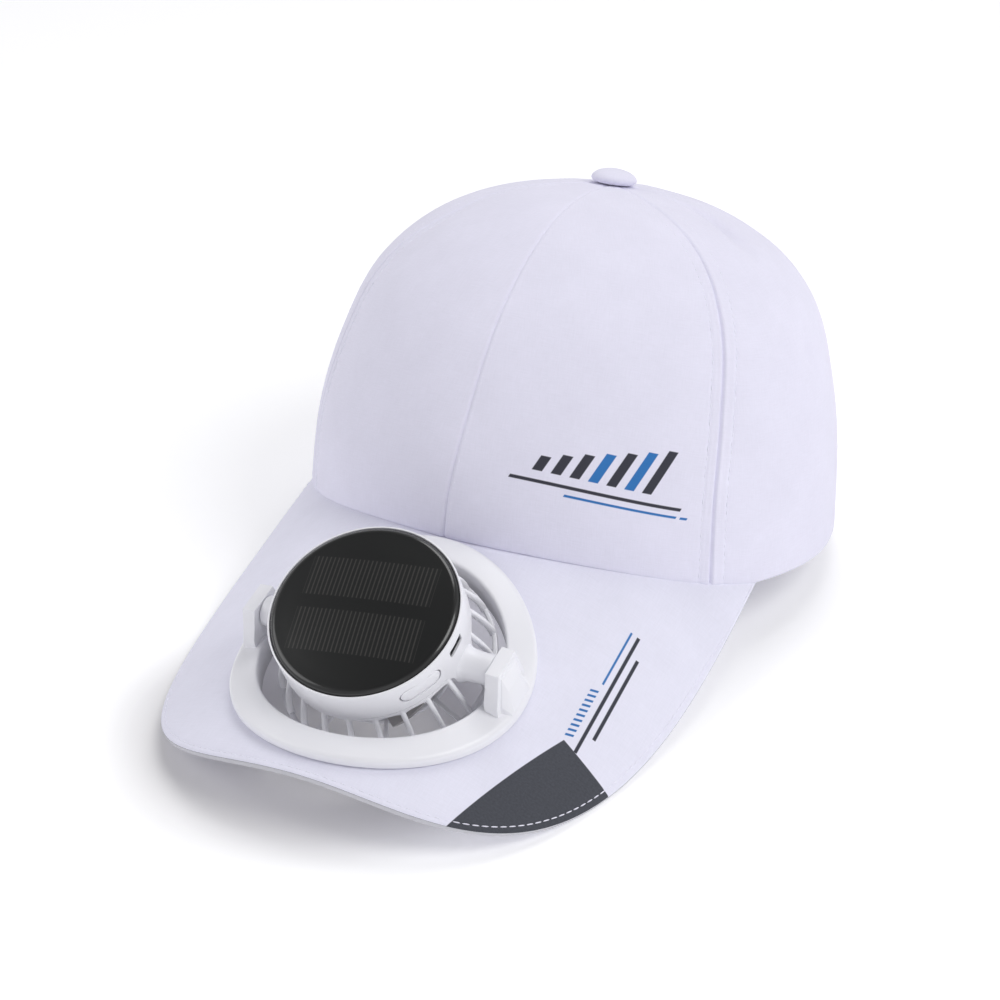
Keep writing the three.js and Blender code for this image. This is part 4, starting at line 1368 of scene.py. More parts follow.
@dataclass
class PeakCloth3D:
    """The peak: a board in cloth, with a sewn edge and a hole for the fan."""

    cap: Cap
    frame: CapFrame
    finish: bpy.types.Material
    thread_finish: bpy.types.Material
    thread: Thread = Thread(pitch=2.9, length=2.45, width=0.4, height=0.2)
    stitch_inset: float = 1.7
    edge_sag: float = 0.45
    edge_fade: float = 3.0
    setback: float = 49.3
    hole: float = 40.2
    edge_steps: tuple[float, ...] = (
        0.0, 0.2, 0.45, 0.8, 1.2, 1.7, 2.1, 2.4, 2.7, 3.0, 3.3, 3.8, 4.6, 6.0, 8.0,
    )
    turns: int = 280
    inner_rows: int = 50

    def rows(self, turn: Array) -> tuple[Array, Array, Array]:
        """Places across the peak from its edge to its inner edge.

        Args:
            turn: -1 to 1 round the peak.

        Returns:
            Across, down the slope, and distance from the edge, with rows on the second axis.
        """
        inner = np.stack(self.cap.peak_base(turn, self.cap.wall + self.cap.peak.tuck), -1)
        outer = np.stack(self.cap.edge(turn), -1)
        span = np.linalg.norm(inner - outer, axis=1, keepdims=True)
        steps = np.array(self.edge_steps)
        squeeze = np.minimum(1, span / (1.6 * steps[-1]))
        square = -np.stack(self.outward(outer[:, 0], outer[:, 1]), -1)
        straight = (inner - outer) / span
        heading = straight + (square - straight) * np.clip(span / 20 - 1, 0, 1)
        heading /= np.linalg.norm(heading, axis=1, keepdims=True)
        near = outer[:, None] + heading[:, None] * (steps * squeeze)[..., None]
        rest = np.linspace(0, 1, self.inner_rows + 1)[1:, None]
        far = near[:, -1:] + (inner[:, None] - near[:, -1:]) * rest
        places = np.concatenate([near, far], 1)
        last = steps[-1] * squeeze
        away = np.hstack([steps * squeeze, last + (span - last) * rest[:, 0]])
        return places[..., 0], places[..., 1], away

    def dip(self, away: Array) -> Array:
        """How far the sewing pulls the cloth down at a distance from the edge."""
        sewn = 0.14 * np.exp(-(((away - self.stitch_inset) / 0.4) ** 2))
        roll = 0.3 * np.exp(-away / 0.25)
        return -sewn - roll

    def sag(self, away: Array) -> Array:
        """How far the top face comes down towards the thinner edge."""
        return self.edge_sag * np.exp(-away / self.edge_fade)

    def make(self) -> None:
        """Builds the peak."""
        turn = np.linspace(-1, 1, self.turns + 1)
        x, ahead, away = self.rows(turn)
        squeeze = np.clip(away[:, -1:] / 8, 0, 1)
        thickness = self.cap.peak.thickness
        top = self.cap.on_peak(x, ahead, self.dip(away) * squeeze - self.sag(away))
        under = self.cap.on_peak(x, ahead, -thickness - self.dip(away) * squeeze)
        low, high = -thickness + 0.3, -self.edge_sag - 0.3
        maps = np.stack([x, ahead], -1) * MM
        draft = Draft()
        a, b = draft.add(top, maps), draft.add(under, maps + INNER_SHIFT)
        keep = np.hypot(x, ahead - self.setback) > self.hole
        self.cut(draft, a, keep)
        self.cut(draft, b, keep)
        out = self.outward(x[:, 0], ahead[:, 0])
        loops = [a[:, 0]]
        for t in np.linspace(0, math.pi, 7)[1:-1]:
            lift = (low + high) / 2 + (high - low) / 2 * math.cos(t)
            reach = 0.3 * math.sin(t)
            place = self.cap.on_peak(x[:, 0] + out[0] * reach, ahead[:, 0] + out[1] * reach, lift)
            # The edge wall's map is shifted so that the peak cloth paints shade on it.
            loops.append(draft.add(place, maps[:, 0] + EDGE_SHIFT))
        loops.append(b[:, 0])
        for first, second in zip(loops, loops[1:]):
            draft.strip(first, second)
        draft.strip(a[:, -1], b[:, -1])
        draft.strip(a[0], b[0])
        draft.strip(a[-1], b[-1])
        self.close_hole(draft, a, b, keep)
        piece = draft.piece("brim_cloth", self.frame.place, self.finish)
        put(piece, Body.CAP, Slot.BRIM, "brim")

    def outward(self, x: Array, ahead: Array) -> tuple[Array, Array]:
        """Directions out of the peak's edge."""
        dx, dy = np.gradient(x), np.gradient(ahead)
        size = np.hypot(dx, dy)
        return -dy / size, dx / size

    def cut(self, draft: Draft, numbers: Array, keep: Array) -> None:
        """Joins a grid with quads, apart from those in the hole."""
        whole = keep[:-1, :-1] & keep[1:, :-1] & keep[1:, 1:] & keep[:-1, 1:]
        faces = np.stack([numbers[:-1, :-1], numbers[1:, :-1], numbers[1:, 1:], numbers[:-1, 1:]], -1)
        draft.faces += faces[whole].tolist()

    def close_hole(self, draft: Draft, a: Array, b: Array, keep: Array) -> None:
        """Joins the two faces round the hole."""
        whole = keep[:-1, :-1] & keep[1:, :-1] & keep[1:, 1:] & keep[:-1, 1:]
        padded = np.pad(whole, 1, constant_values=True)
        inside = padded[1:-1, 1:-1]
        for step, first, second in (
            ((-1, 0), (0, 0), (0, 1)),
            ((1, 0), (1, 0), (1, 1)),
            ((0, -1), (0, 0), (1, 0)),
            ((0, 1), (0, 1), (1, 1)),
        ):
            beside = padded[1 + step[0] : padded.shape[0] - 1 + step[0], 1 + step[1] : padded.shape[1] - 1 + step[1]]
            rows, cols = np.nonzero(inside & ~beside)
            for i, j in zip(rows, cols):
                p, q = (i + first[0], j + first[1]), (i + second[0], j + second[1])
                draft.faces.append([int(a[p]), int(a[q]), int(b[q]), int(b[p])])

    def make_stitching(self) -> None:
        """Sews the row along the peak's edge."""
        draft = Draft()
        x, ahead, away = self.rows(np.linspace(-0.985, 0.985, 900))
        row = self.edge_steps.index(self.stitch_inset)
        x, ahead, away = x[:, row], ahead[:, row], away[:, row]
        path = self.cap.on_peak(x, ahead, 0.04 - self.sag(away) + self.dip(away))
        self.thread.lay(draft, path, self.cap.peak_normal(x))
        piece = draft.piece("brim_stitching", self.frame.place, self.thread_finish)
        put(piece, Body.CAP, Slot.BRIM)


@dataclass
class Strap:
    """The adjuster strap inside the arch."""

    cap: Cap
    frame: CapFrame
    finish: bpy.types.Material
    thread_finish: bpy.types.Material
    width: float = 20.0
    thickness: float = 1.5
    lift: float = 2.0
    gap: float = 0.35
    half: float = math.atan((38.0 + 14.0) / 96.0) * 1.19
    steps: int = 96

    def place_at(self, azimuth: Array, height: Array, depth: Array) -> Array:
        """Places on the strap at a height above the base plane."""
        crown = self.cap.crown
        azimuth, height, depth = np.broadcast_arrays(azimuth, height, depth)
        row = halving(
            lambda r: crown.point(azimuth, r, depth)[..., 2] - height, np.zeros(azimuth.shape), np.full(azimuth.shape, 0.6)
        )
        return crown.point(azimuth, row, depth)

    def make(self) -> None:
        """Builds the strap and its two sewn edges."""
        azimuth = math.pi + np.linspace(-self.half, self.half, self.steps)[:, None]
        rows = np.array([0, 0.25, 0.7, 1.5, 2.2, 2.6, 3.0, 3.8, 6, 10, 14, 16.2, 17, 17.4, 17.8, 18.5, 19.3, 19.75, 20])
        height = self.lift + rows[None, :] * self.width / 20
        edge = np.minimum(rows, 20 - rows)
        relief = 0.35 * np.exp(-edge / 0.4) + 0.18 * np.exp(-(((edge - 2.6) / 0.5) ** 2))
        outside = self.cap.wall + self.gap
        outer = self.place_at(azimuth, height, outside + relief)
        inner = self.place_at(azimuth, height, outside + self.thickness - relief)
        arc = (azimuth - math.pi) * 97
        maps = np.stack(np.broadcast_arrays(arc, height), -1) * MM
        draft = Draft()
        draft.shell(outer, inner, maps)
        piece = draft.piece("adjuster_strap_cloth", self.frame.place, self.finish)
        put(piece, Body.CAP, Slot.CLOTH, "adjuster_strap")
        length = float(np.linalg.norm(np.diff(outer[:, 9], axis=0), axis=-1).sum())
        sewing = Draft()
        run = math.pi + np.linspace(-self.half + 0.02, self.half - 0.02, 200)
        for offset in (2.6, 17.4):
            path = self.place_at(run, np.full(200, self.lift + offset), np.full(200, outside + 0.12))
            row = np.full(200, 0.12)
            Thread(pitch=2.7, length=1.9, width=0.45, height=0.26).lay(sewing, path, self.cap.crown.normal(run, row))
        put(sewing.piece("strap_stitching", self.frame.place, self.thread_finish), Body.CAP, Slot.CLOTH)


@dataclass
class Mount:
    """The flange on the peak, its sleeve, its two posts and the ring under the peak."""

    cap: Cap
    frame: CapFrame
    finish: bpy.types.Material
    setback: float = 49.3
    inner: float = 38.1
    outer: float = 47.3
    flange: float = 3.2
    gap: float = 0.35
    sleeve: float = 1.6
    clamp: float = 2.4
    clamp_outer: float = 46.0
    axle_rise: float = 3.0
    post_inner: float = 39.3
    post_thickness: float = 6.8
    post_half: float = 9.5
    post_top_half: float = 5.9
    post_cap: float = 4.9
    post_sink: float = 1.5
    knee: float = 0.55
    shin: float = 0.22
    sides: int = 180

    def ring(self, outline: Sequence[tuple[float, float, float]]) -> Array:
        """A ring that follows the peak's arch.

        Args:
            outline: radius, rise off the peak, and share of the peak's thickness to drop through.

        Returns:
            (side, point, 3) places.
        """
        angle = np.arange(self.sides)[:, None] * 2 * math.pi / self.sides
        radius, rise, skin = [np.array(column)[None, :] for column in zip(*outline)]
        x, ahead = radius * np.sin(angle), self.setback + radius * np.cos(angle)
        flat = self.cap.on_peak(x, ahead)
        drop = skin * self.cap.peak.thickness / np.cos(self.cap.peak.fall(x))
        return flat + (rise - drop)[..., None] * self.cap.peak.off

    def draw_ring(self, name: str, corners: Sequence[tuple[float, float, float]], skin_from: float) -> bpy.types.Object:
        """Builds one ring.

        Args:
            name: the piece's name.
            corners: radius, rise and rounding of each corner of its section.
            skin_from: points below this rise drop through the peak's thickness too.

        Returns:
            The piece.
        """
        outline = [(r, z, 1.0 if z < skin_from else 0.0) for r, z in rounded(corners)]
        loops = self.ring(outline)
        # Painted shade: marks the sleeve's inner wall below the flange, which the finish darkens.
        deep = [1.0 if r < self.inner + 0.4 and z < self.gap + self.flange - 1.5 else 0.0 for r, z, _ in outline]
        maps = np.stack([np.broadcast_to(deep, loops.shape[:2]), np.zeros(loops.shape[:2])], -1)
        draft = Draft()
        numbers = draft.add(loops, maps)
        draft.quads(np.concatenate([numbers, numbers[:, :1]], 1), wrap=True)
        return draft.piece(name, self.frame.place, self.finish)

    def make_rings(self) -> None:
        """Builds the flange with its sleeve, and the ring that clamps it."""
        top = self.gap + self.flange
        foot = -0.3 - self.clamp
        flange = self.draw_ring(
            "mount_flange",
            (
                (self.inner, foot, 0.3),
                (self.inner + self.sleeve, foot, 0.3),
                (self.inner + self.sleeve, self.gap, 0.0),
                (self.outer, self.gap, 0.5),
                (self.outer, top, 2.4),
                (self.inner, top, 1.3),
            ),
            -0.05,
        )
        put(flange, Body.CAP, Slot.PLASTIC, "mount_ring")
        inner = self.inner + self.sleeve + 0.3
        clamp = self.draw_ring(
            "clamp_ring",
            (
                (inner, foot, 0.5),
                (self.clamp_outer, foot, 1.0),
                (self.clamp_outer, -0.3, 0.4),
                (inner, -0.3, 0.3),
            ),
            0.0,
        )
        put(clamp, Body.CAP, Slot.PLASTIC, "retaining_ring")

    def make_posts(self) -> None:
        """Builds the two posts that hold the axle."""
        draft = Draft()
        block = ((0.0, 1.0, 1.0, 1.0), (0.64, 0.99, 0.97, 0.98))
        buttress = ((0.5, 0.78, 0.84, 0.9), (0.7, 0.76, 0.8, 0.84), (0.88, 0.7, 0.7, 0.5), (1.07, 0.62, 0.6, 0.08))
        lerp = lambda a, b, t: a + (b - a) * t
        for side, table in ((1, block), (-1, block), (1, buttress), (-1, buttress)):
            loops = []
            for out, foot_share, top_share, rise in table:
                x = self.post_inner + out * self.post_thickness
                foot, top = self.post_half * foot_share, self.post_top_half * top_share
                drop = float(self.cap.peak.drop(np.array(x)))
                base, flange = self.post_sink - drop, self.gap + self.flange - drop
                peak = lerp(flange, self.axle_rise + self.post_cap, rise)
                knee, shin = lerp(flange, peak, self.knee), lerp(flange, peak, self.shin)
                half = (foot + top) / 2
                outline = (
                    (-foot, base), (-foot, shin), (-half, knee), (-top, peak),
                    (top, peak), (half, knee), (foot, shin), (foot, base),
                )
                loops.append(
                    [
                        self.cap.joint + (self.setback + a) * self.cap.peak.down + b * self.cap.peak.off + [side * x, 0, 0]
                        for a, b in outline
                    ]
                )
            draft.tube(np.array(loops))
        piece = draft.piece("bracket_posts", self.frame.place, self.finish)
        bevel = piece.modifiers.new("rounding", "BEVEL")
        bevel.width, bevel.segments, bevel.limit_method = 0.6 * MM, 3, "ANGLE"
        bevel.angle_limit = math.radians(24)
        put(piece, Body.CAP, Slot.PLASTIC)


@dataclass
class Head:
    """The tilting head: housing, disc, cage, button and blades, in a frame about the axle."""

    cap: Cap
    frame: CapFrame
    finishes: Mapping[str, bpy.types.Material]
    setback: float = 49.3
    axle_rise: float = 3.0
    tilt: float = math.radians(23.5 + 13.9)
    radius: float = 29.9
    wall: float = 1.8
    bottom: float = 5.0
    top: float = 17.3
    lid: float = 1.5
    lip: float = 0.6
    lip_height: float = 1.7
    barrel: float = 4.8
    barrel_end: float = 39.0
    lug_half: float = 6.0
    port_azimuth: float = math.radians(88)
    port_rise: float = 12.2
    port_size: tuple[float, float] = (7.2, 2.8)
    button_azimuth: float = math.radians(57)
    button_rise: float = 11.0
    button_size: tuple[float, float] = (14.0, 4.8)
    rim_radius: float = 34.4
    rim_width: float = 1.6
    rim_bottom: float = -14.0
    rim_height: float = 2.4
    ribs: int = 22
    first_rib: float = math.radians(90)
    lug_fillet: float = 4.2
    sides: int = 180

    def __post_init__(self) -> None:
        """Works out where the head's frame lies."""
        peak = self.cap.peak
        axle = self.cap.joint + self.setback * peak.down + self.axle_rise * peak.off
        self.matrix = self.frame.matrix() @ Matrix.Translation(axle) @ Matrix.Rotation(self.tilt, 4, "X")

    def place(self, points: Array) -> Array:
        """Puts points of the head's frame in the hat's, in metres."""
        return moved(self.matrix, points)

    def side_frame(self, azimuth: float, rise: float) -> Matrix:
        """A frame in the housing's wall, with Z out of it, in millimetres of the head's frame."""
        out = Matrix.Translation((0, -self.radius, rise)) @ Matrix.Rotation(math.pi / 2, 4, "X")
        return Matrix.Rotation(azimuth, 4, "Z") @ out

    def pill(self, length: float, width: float, steps: int = 12) -> list[tuple[float, float]]:
        """The outline of a bar with round ends."""
        half = (length - width) / 2
        ends = []
        for sign in (1, -1):
            for t in np.linspace(-math.pi / 2, math.pi / 2, steps):
                ends.append((sign * (half + width / 2 * math.cos(t)), sign * width / 2 * math.sin(t)))
        return ends

    def cutter(self, outline: Sequence[tuple[float, float]], azimuth: float, rise: float) -> bpy.types.Object:
        """A prism through the housing's wall, to cut with."""
        matrix = np.array(self.side_frame(azimuth, rise))
        loops = np.array([[(x, y, z) for x, y in outline] for z in (-4.0, 4.0)])
        draft = Draft()
        draft.tube(loops @ matrix[:3, :3].T + matrix[:3, 3])
        return draft.piece("cutter", self.place, self.finishes["plastic"])

    def cut(self, piece: bpy.types.Object, cutter: bpy.types.Object) -> None:
        """Cuts one piece with another, and removes the second."""
        modifier = piece.modifiers.new("cut", "BOOLEAN")
        modifier.operation, modifier.solver, modifier.object = "DIFFERENCE", "EXACT", cutter
        shown = piece.evaluated_get(bpy.context.evaluated_depsgraph_get())
        mesh = bpy.data.meshes.new_from_object(shown)
        piece.modifiers.clear()
        piece.data = mesh
        bpy.data.objects.remove(cutter)

    def make_housing(self) -> None:
        """Builds the round housing, with its slot and the button's seat."""
        lid_top = self.top - self.lip_height
        inner = self.radius - self.wall
        outline = rounded(
            (
                (inner, self.bottom, 0.4),
                (self.radius, self.bottom, 0.5),
                (self.radius, self.top, 0.5),
                (self.radius - self.lip, self.top, 0.25),
                (self.radius - self.lip, lid_top, 0.0),
                (0.5, lid_top, 0.0),
                (0.5, lid_top - self.lid, 0.0),
                (inner, lid_top - self.lid, 0.4),
            )
        )
        loops = np.swapaxes(turned(outline, self.sides), 0, 1)
        draft = Draft()
        numbers = draft.add(loops)
        draft.quads(np.concatenate([numbers, numbers[:, :1]], 1), wrap=True)
        piece = draft.piece("fan_housing", self.place, self.finishes["plastic"], crease=math.radians(32))
        length, height = self.port_size
        box = [(length / 2, height / 2), (-length / 2, height / 2), (-length / 2, -height / 2), (length / 2, -height / 2)]
        self.cut(piece, self.cutter(rounded([(x, y, 0.6) for x, y in box]), self.port_azimuth, self.port_rise))
        length, width = self.button_size
        self.cut(piece, self.cutter(self.pill(length + 0.7, width + 0.7), self.button_azimuth, self.button_rise))
        piece.data.shade_smooth()
        piece.data.set_sharp_from_angle(angle=math.radians(32))
        put(piece, Body.HEAD, Slot.PLASTIC, "head_shell")

    def make_axles(self) -> None:
        """Builds the lugs and the barrels that widen into them."""
        draft = Draft()
        turn = np.arange(64) * 2 * math.pi / 64
        for side in (1, -1):
            reach = np.array([28.6, 29.2, 29.5, 29.8, 30.1, 30.5, 31.0, 31.6, 32.4, 33.4, 34.6, 36.2, 38.4, 38.8, 39.0])
            flare = 1.15 * np.exp(-np.clip(reach - 29.5, 0, None) / 1.6)
            radius = self.barrel - 0.05 + flare
            radius[-2:] = self.barrel - 0.15, self.barrel - 0.4
            loops = np.stack(
                [
                    np.repeat(side * reach[:, None], 64, 1),
                    radius[:, None] * np.cos(turn),
                    radius[:, None] * np.sin(turn),
                ],
                -1,
            )
            draft.tube(loops)
            pin = np.array([[[side * x, 2.6 * math.cos(t), 2.6 * math.sin(t)] for t in turn] for x in (38.5, 42.3)])
            draft.tube(pin)
            draft.shell(*self.lug_faces(side))
        piece = draft.piece("axle_barrels", self.place, self.finishes["plastic"])
        put(piece, Body.HEAD, Slot.PLASTIC)

    def lug_faces(self, side: int) -> tuple[Array, Array, Array]:
        """The outer and inner faces of the lug that carries a barrel, and their map.

        Args:
            side: 1 for the wearer's left, -1 for the right.

        Returns:
            The two grids of places and their map places.
        """
        height = np.concatenate([-np.cos(np.linspace(0, math.pi / 2, 13)) * self.lug_half, np.linspace(0.5, 6.4, 13)])
        half = np.sqrt(np.clip(self.lug_half**2 - np.minimum(height, 0) ** 2, 0, None))
        half += self.lug_fillet * np.clip(height / 6.4, 0, 1) ** 1.7
        offset = np.linspace(-1, 1, 33)[:, None] * half[None, :]
        faces = []
        for radius in (self.radius - 0.02, self.radius - self.wall):
            x = side * np.sqrt(radius**2 - offset**2)
            faces.append(np.stack([x, offset, np.broadcast_to(height, offset.shape)], -1))
        return faces[0], faces[1], np.zeros(offset.shape + (2,))

    def make_disc(self) -> None:
        """Builds the solar disc: almost flat, with a rolled edge."""
        base = self.top - self.lip_height + 0.3
        radius = self.radius - self.lip - 0.3
        edge = base + 1.6
        rows = [(radius - 0.2, base), (radius, base + 0.2), (radius, edge - 0.7)]
        for t in np.linspace(0.1, 1, 9):
            rows.append((radius - 2.0 * t**1.5, edge - 0.7 + 1.35 * math.sin(t * math.pi / 2)))
        last = rows[-1]
        for t in np.linspace(0.12, 0.97, 12):
            rows.append((last[0] * (1 - t), last[1] + 1.35 * (1 - (1 - t) ** 2)))
        loops = turned(rows, 144)
        draft = Draft()
        draft.tube(loops, loops[..., :2] * MM)
        piece = draft.piece("solar_disc", self.place, self.finishes["glass"], map_name="disc", crease=math.radians(60))
        put(piece, Body.HEAD, Slot.GLASS, "solar_panel")

    def make_button(self) -> None:
        """Builds the long button, flush with the housing."""
        length, width = self.button_size
        draft = Draft()
        outline = np.array(self.pill(length, width, 16))
        loops = []
        for scale, depth in ((1.0, 2.6), (1.0, 0.35), (0.985, 0.1), (0.95, -0.02), (0.6, -0.05), (0.25, -0.05)):
            flat = outline * [scale, scale ** (1.0 if scale > 0.9 else 1.0)]
            turn = flat[:, 0] / self.radius + self.button_azimuth
            reach = self.radius - depth
            loops.append(np.stack([reach * np.sin(turn), -reach * np.cos(turn), self.button_rise + flat[:, 1]], -1))
        draft.tube(np.array(loops))
        piece = draft.piece("power_button_cap", self.place, self.finishes["plastic"])
        put(piece, Body.BUTTON, Slot.PLASTIC, "power_button")

    def make_cage(self) -> None:
        """Builds the scalloped shoulder, the slanted ribs, the rim and the guard."""
        draft = Draft()
        top = self.bottom - 0.3
        count = 720
        angle = np.arange(count) * 2 * math.pi / count
        pitch = 2 * math.pi / self.ribs
        near = np.abs((angle - self.first_rib + pitch / 2) % pitch - pitch / 2) * self.radius
        web = np.clip(1 - near / 3.4, 0, 1)
        low = top - 1.5 - 2.2 * (1 - np.sqrt(np.clip(1 - web**2, 0, 1)))
        outer_r, inner_r = self.radius - 0.3, self.radius - self.wall
        rows = []
        for radius, share in ((inner_r, 0.0), (outer_r - 0.4, 0.0), (outer_r, 0.12), (outer_r + 0.1, 0.8), (outer_r - 0.1, 1.0), (inner_r + 0.2, 1.0), (inner_r, 0.85)):
            height = top + (low - top) * share
            rows.append(np.stack([radius * np.sin(angle), -radius * np.cos(angle), height], -1))
        loops = np.swapaxes(np.array(rows), 0, 1)
        numbers = draft.add(loops)
        draft.quads(np.concatenate([numbers, numbers[:, :1]], 1), wrap=True)
        for rib in range(self.ribs):
            turn = self.first_rib + rib * pitch
            steps = 14
            path = []
            under_lug = abs(math.cos(turn)) < 0.01
            for k in range(steps + 1):
                t = 0.64 + 0.36 * k / steps if under_lug else k / steps
                middle = self.radius - 1.3 + (self.rim_radius + 0.2 - self.radius) * math.sin(t * math.pi / 2)
                height = top - 0.9 + (self.rim_bottom + self.rim_height / 2 - top + 0.9) * t
                half, deep = 0.85 - 0.15 * t, 1.1
                section = [
                    (middle + deep * math.cos(a) * abs(math.cos(a)) ** -0.4 * 0.95, half * math.sin(a) * abs(math.sin(a)) ** -0.4 * 0.95)
                    if min(abs(math.cos(a)), abs(math.sin(a))) > 0.05
                    else (middle + deep * math.cos(a), half * math.sin(a))
                    for a in np.arange(12) * math.pi / 6 + 0.0001
                ]
                path.append([(r * math.sin(turn) + s * math.cos(turn), -r * math.cos(turn) + s * math.sin(turn), height) for r, s in section])
            draft.tube(np.array(path))
        floor, rim_top = self.rim_bottom, self.rim_bottom + self.rim_height
        inner = self.rim_radius - self.rim_width
        for corners in (
            ((inner, floor, 0.5), (self.rim_radius, floor, 0.6), (self.rim_radius, rim_top, 0.6), (inner, rim_top, 0.5)),
            ((20.0, floor, 0.4), (21.4, floor, 0.4), (21.4, floor + 1.4, 0.4), (20.0, floor + 1.4, 0.4)),
        ):
            loops = np.swapaxes(turned(rounded(corners), 144), 0, 1)
            numbers = draft.add(loops)
            draft.quads(np.concatenate([numbers, numbers[:, :1]], 1), wrap=True)
        draft.tube(turned(((6.6, floor), (7.0, floor + 0.4), (7.0, floor + 1.0), (6.6, floor + 1.4)), 64))
        for spoke in range(8):
            turn = math.pi * 2 * (spoke + 0.5) / 8
            section = rounded(((-0.7, floor, 0.35), (0.7, floor, 0.35), (0.7, floor + 1.4, 0.35), (-0.7, floor + 1.4, 0.35)), 2)
            path = [
                [(r * math.cos(turn) - s * math.sin(turn), r * math.sin(turn) + s * math.cos(turn), z) for s, z in section]
                for r in (6.2, inner + 0.6)
            ]
            draft.tube(np.array(path))
        piece = draft.piece("fan_cage_ribs", self.place, self.finishes["plastic"])
        put(piece, Body.HEAD, Slot.PLASTIC, "fan_cage")

    def make_impeller(self) -> None:
        """Builds the hub and its curved blades."""
        draft = Draft()
        top, bottom = 0.7, -9.7
        hub = rounded(
            (
                (0.4, bottom, 0.0), (11.0, bottom, 2.2), (11.0, top, 0.4),
                (1.55, top, 0.0), (1.55, -5.8, 0.0), (0.4, -5.8, 0.0),
            ),
            6,
        )
        loops = np.swapaxes(turned(hub, 96), 0, 1)
        numbers = draft.add(loops)
        draft.quads(np.concatenate([numbers, numbers[:, :1]], 1), wrap=True)
        high, low, thick = top, bottom + 1.0, 1.1
        span, sweep = math.radians(30), math.radians(14)
        tip = self.radius - self.wall - 1.3
        for blade in range(6):
            azimuth = blade * math.pi / 3
            path = []
            for k in range(15):
                t = k / 14
                radius = 9.9 + (tip - 9.9) * t
                wide = span * (1 - 0.1 * t) / 2
                rise = (1 - 0.25 * t) * (high - low - thick) / 2
                section = []
                ends = np.linspace(-1, 1, 9)
                for face, order in ((-1, ends), (1, ends[::-1])):
                    for e in order:
                        turn = azimuth + e * wide + t * sweep
                        swell = thick / 2 * max(1 - e**4, 0.25)
                        bow = 0.6 * (1 - e * e)
                        section.append((radius * math.cos(turn), radius * math.sin(turn), (high + low) / 2 + e * rise - bow + face * swell))
                path.append(section)
            draft.tube(np.array(path))
        piece = draft.piece("impeller_blades", self.place, self.finishes["grey"])
        put(piece, Body.IMPELLER, Slot.GREY, "impeller")

    def dress_solids(self) -> None:
        """Gives the solids that stay in view their finishes."""
        for node, finish in (("fan_motor", "grey"), ("charging_port", "metal")):
            solid = frame["nodes"][node]
            solid.data.materials.clear()
            solid.data.materials.append(self.finishes[finish])


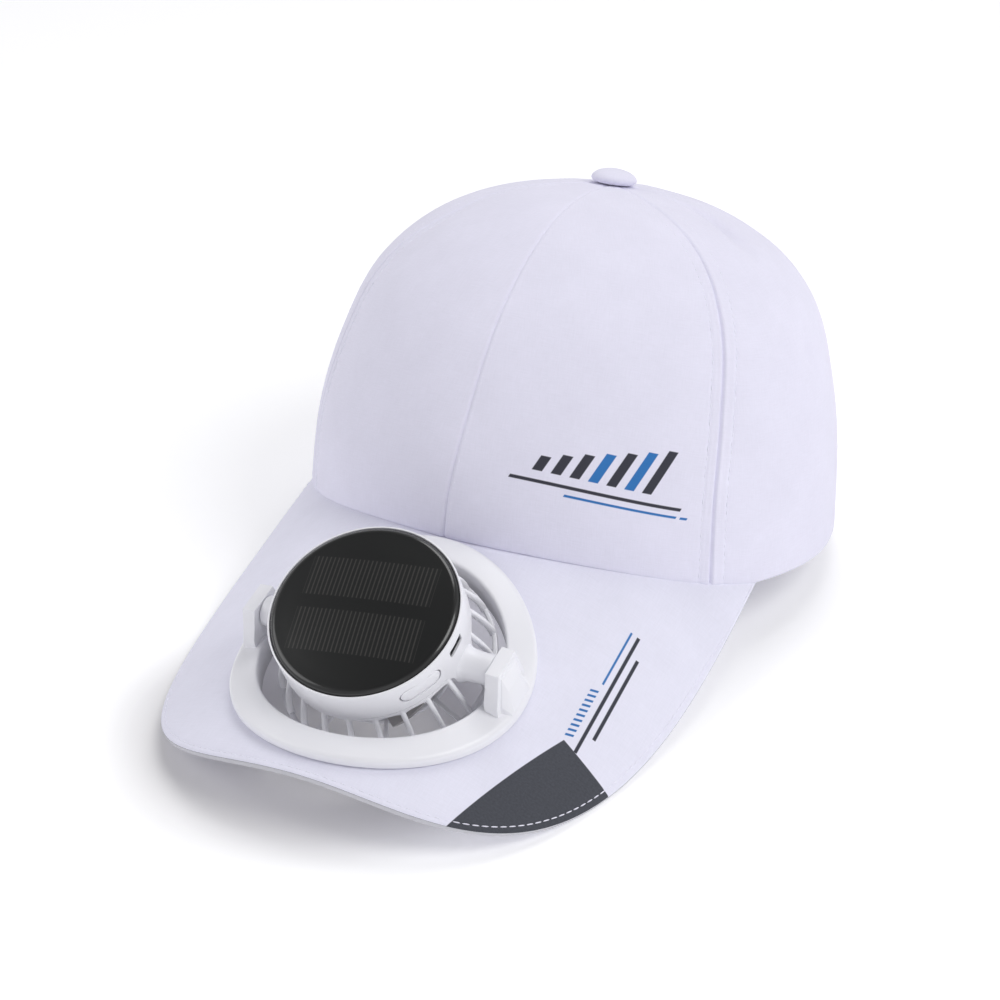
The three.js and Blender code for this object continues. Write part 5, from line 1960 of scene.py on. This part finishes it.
@dataclass
class Studio:
    """The camera, the lights and the floor."""

    eye: tuple[float, float, float] = (287.001, -606.597, 417.802)
    right: tuple[float, float, float] = (0.90092, 0.43398, -0.0015)
    up: tuple[float, float, float] = (-0.21355, 0.44631, 0.86902)
    back: tuple[float, float, float] = (0.37781, -0.7826, 0.49477)
    focal_pixels: float = 2297.557
    frame_pixels: float = 1000.0
    sensor: float = 36.0
    floor_size: float = 6.0
    # Where the floor's painted shadow lies and over what span it fades out, in metres.
    painted_shadow_middle: tuple[float, float] = (-0.02, -0.1)
    painted_shadow_from: float = 0.045
    painted_shadow_to: float = 0.075

    def make_camera(self) -> None:
        """Puts the camera where the photograph was taken from."""
        data = bpy.data.cameras.new("camera")
        data.sensor_width = self.sensor
        data.lens = self.focal_pixels * self.sensor / self.frame_pixels
        data.clip_start, data.clip_end = 0.01, 50
        camera = bpy.data.objects.new("camera", data)
        axes = Matrix((self.right, self.up, self.back)).transposed().to_4x4()
        camera.matrix_world = Matrix.Translation(Vector(self.eye) * MM) @ axes
        bpy.context.scene.collection.objects.link(camera)
        bpy.context.scene.camera = camera

    def make_floor(self) -> None:
        """Lays the pale floor, with a painted shadow that darkens it under the fan."""
        half = self.floor_size / 2
        draft = Draft()
        line = np.linspace(-half, half, 9)
        x, y = np.meshgrid(line, line, indexing="ij")
        draft.grid(np.stack([x, y, 0 * x - 0.0002], -1))
        material = bpy.data.materials.new("pale_floor")
        graph = Graph(material)
        right, back = graph.parts(graph.node("ShaderNodeTexCoord").outputs["Object"])[:2]
        # Painted shadow: the floor's colour and glow fall off under the fan, so less light reaches the fan from below.
        right, back = right - self.painted_shadow_middle[0], back - self.painted_shadow_middle[1]
        far = (right * right + back * back).eased(self.painted_shadow_from**2, self.painted_shadow_to**2)
        graph.surface(
            {
                "Base Color": graph.blend(far, (0.8, 0.79, 0.8), (0.93, 0.93, 0.94)),
                "Roughness": 0.8,
                "Specular IOR Level": 0.1,
                "Emission Color": graph.blend(far, (0.25, 0.25, 0.25), (1.0, 1.0, 1.0)),
                "Emission Strength": 0.22,
            }
        )
        draft.piece("floor", lambda p: p, material)

    def make_lights(self) -> None:
        """Hangs the soft lights, and lights the room."""
        table = (
            ("key", (0.98, -0.04, 1.14), 0.85, 8.7),
            ("top", (-0.1, 0.75, 1.5), 0.9, 7.4),
            ("fill", (-1.25, -0.72, 1.05), 1.2, 6.6),
            ("front", (0.7, -1.6, 0.6), 1.0, 0.7),
        )
        for name, place, size, power in table:
            data = bpy.data.lights.new(name, "AREA")
            data.shape, data.size, data.energy = "DISK", size, power
            light = bpy.data.objects.new(name, data)
            light.location = place
            light.rotation_mode = "QUATERNION"
            light.rotation_quaternion = (Vector(place) - Vector((0, -0.01, 0.05))).to_track_quat("Z", "Y")
            bpy.context.scene.collection.objects.link(light)
        world = bpy.data.worlds.new("room")
        bpy.context.scene.world = world
        graph = Graph(world)
        place = graph.node("ShaderNodeTexCoord").outputs["Generated"]
        height = graph.parts(place)[2]
        colour = graph.blend(height.eased(0.5, 0.88), (0.97, 0.97, 1.0), (0.2, 0.2, 0.21))
        shader = graph.node("ShaderNodeBackground", None, {"Color": colour, "Strength": 0.6})
        graph.node("ShaderNodeOutputWorld", None, {0: shader.outputs[0]})

    def make(self) -> None:
        """Sets up the whole studio."""
        self.make_camera()
        self.make_floor()
        self.make_lights()
        bpy.context.scene.view_settings.view_transform = "Standard"


def main() -> None:
    """Builds the hat's looks, piece by piece."""
    logging.basicConfig(level=logging.INFO, format="%(name)s %(message)s")
    Studio().make()
    cap, cap_frame = Cap(), CapFrame()
    cloth = Cloth("white_cotton").make()
    crest = CrestCloth("marked_cotton").make()
    peak = PeakCloth("peak_cotton", colour=BRIM_WHITE).make()
    thread = Plastic("white_thread", (0.85, 0.84, 0.95), roughness=0.7).make()
    finishes = {
        "plastic": Plastic("white_plastic", (0.86, 0.86, 0.9)).make(),
        "grey": Plastic("grey_plastic", (0.46, 0.445, 0.45), roughness=0.42).make(),
        "glass": SolarGlass("solar_glass").make(),
        "metal": Metal("port_metal").make(),
    }
    crown = CrownCloth(cap, cap_frame, cloth, crest, thread)
    crown.make_panels()
    crown.make_stitching()
    crown.make_button()
    brim = PeakCloth3D(cap, cap_frame, peak, thread)
    brim.make()
    brim.make_stitching()
    Strap(cap, cap_frame, cloth, thread).make()
    # inner=0.6 paints shade on the sleeve's inner wall.
    mount = Mount(cap, cap_frame, Plastic("mount_plastic_painted_shade", (0.86, 0.86, 0.9), inner=0.6).make())
    mount.make_rings()
    mount.make_posts()
    head = Head(cap, cap_frame, finishes)
    head.make_housing()
    head.make_axles()
    head.make_disc()
    head.make_button()
    head.make_cage()
    head.make_impeller()
    head.dress_solids()


if __name__ == "__main__":
    main()
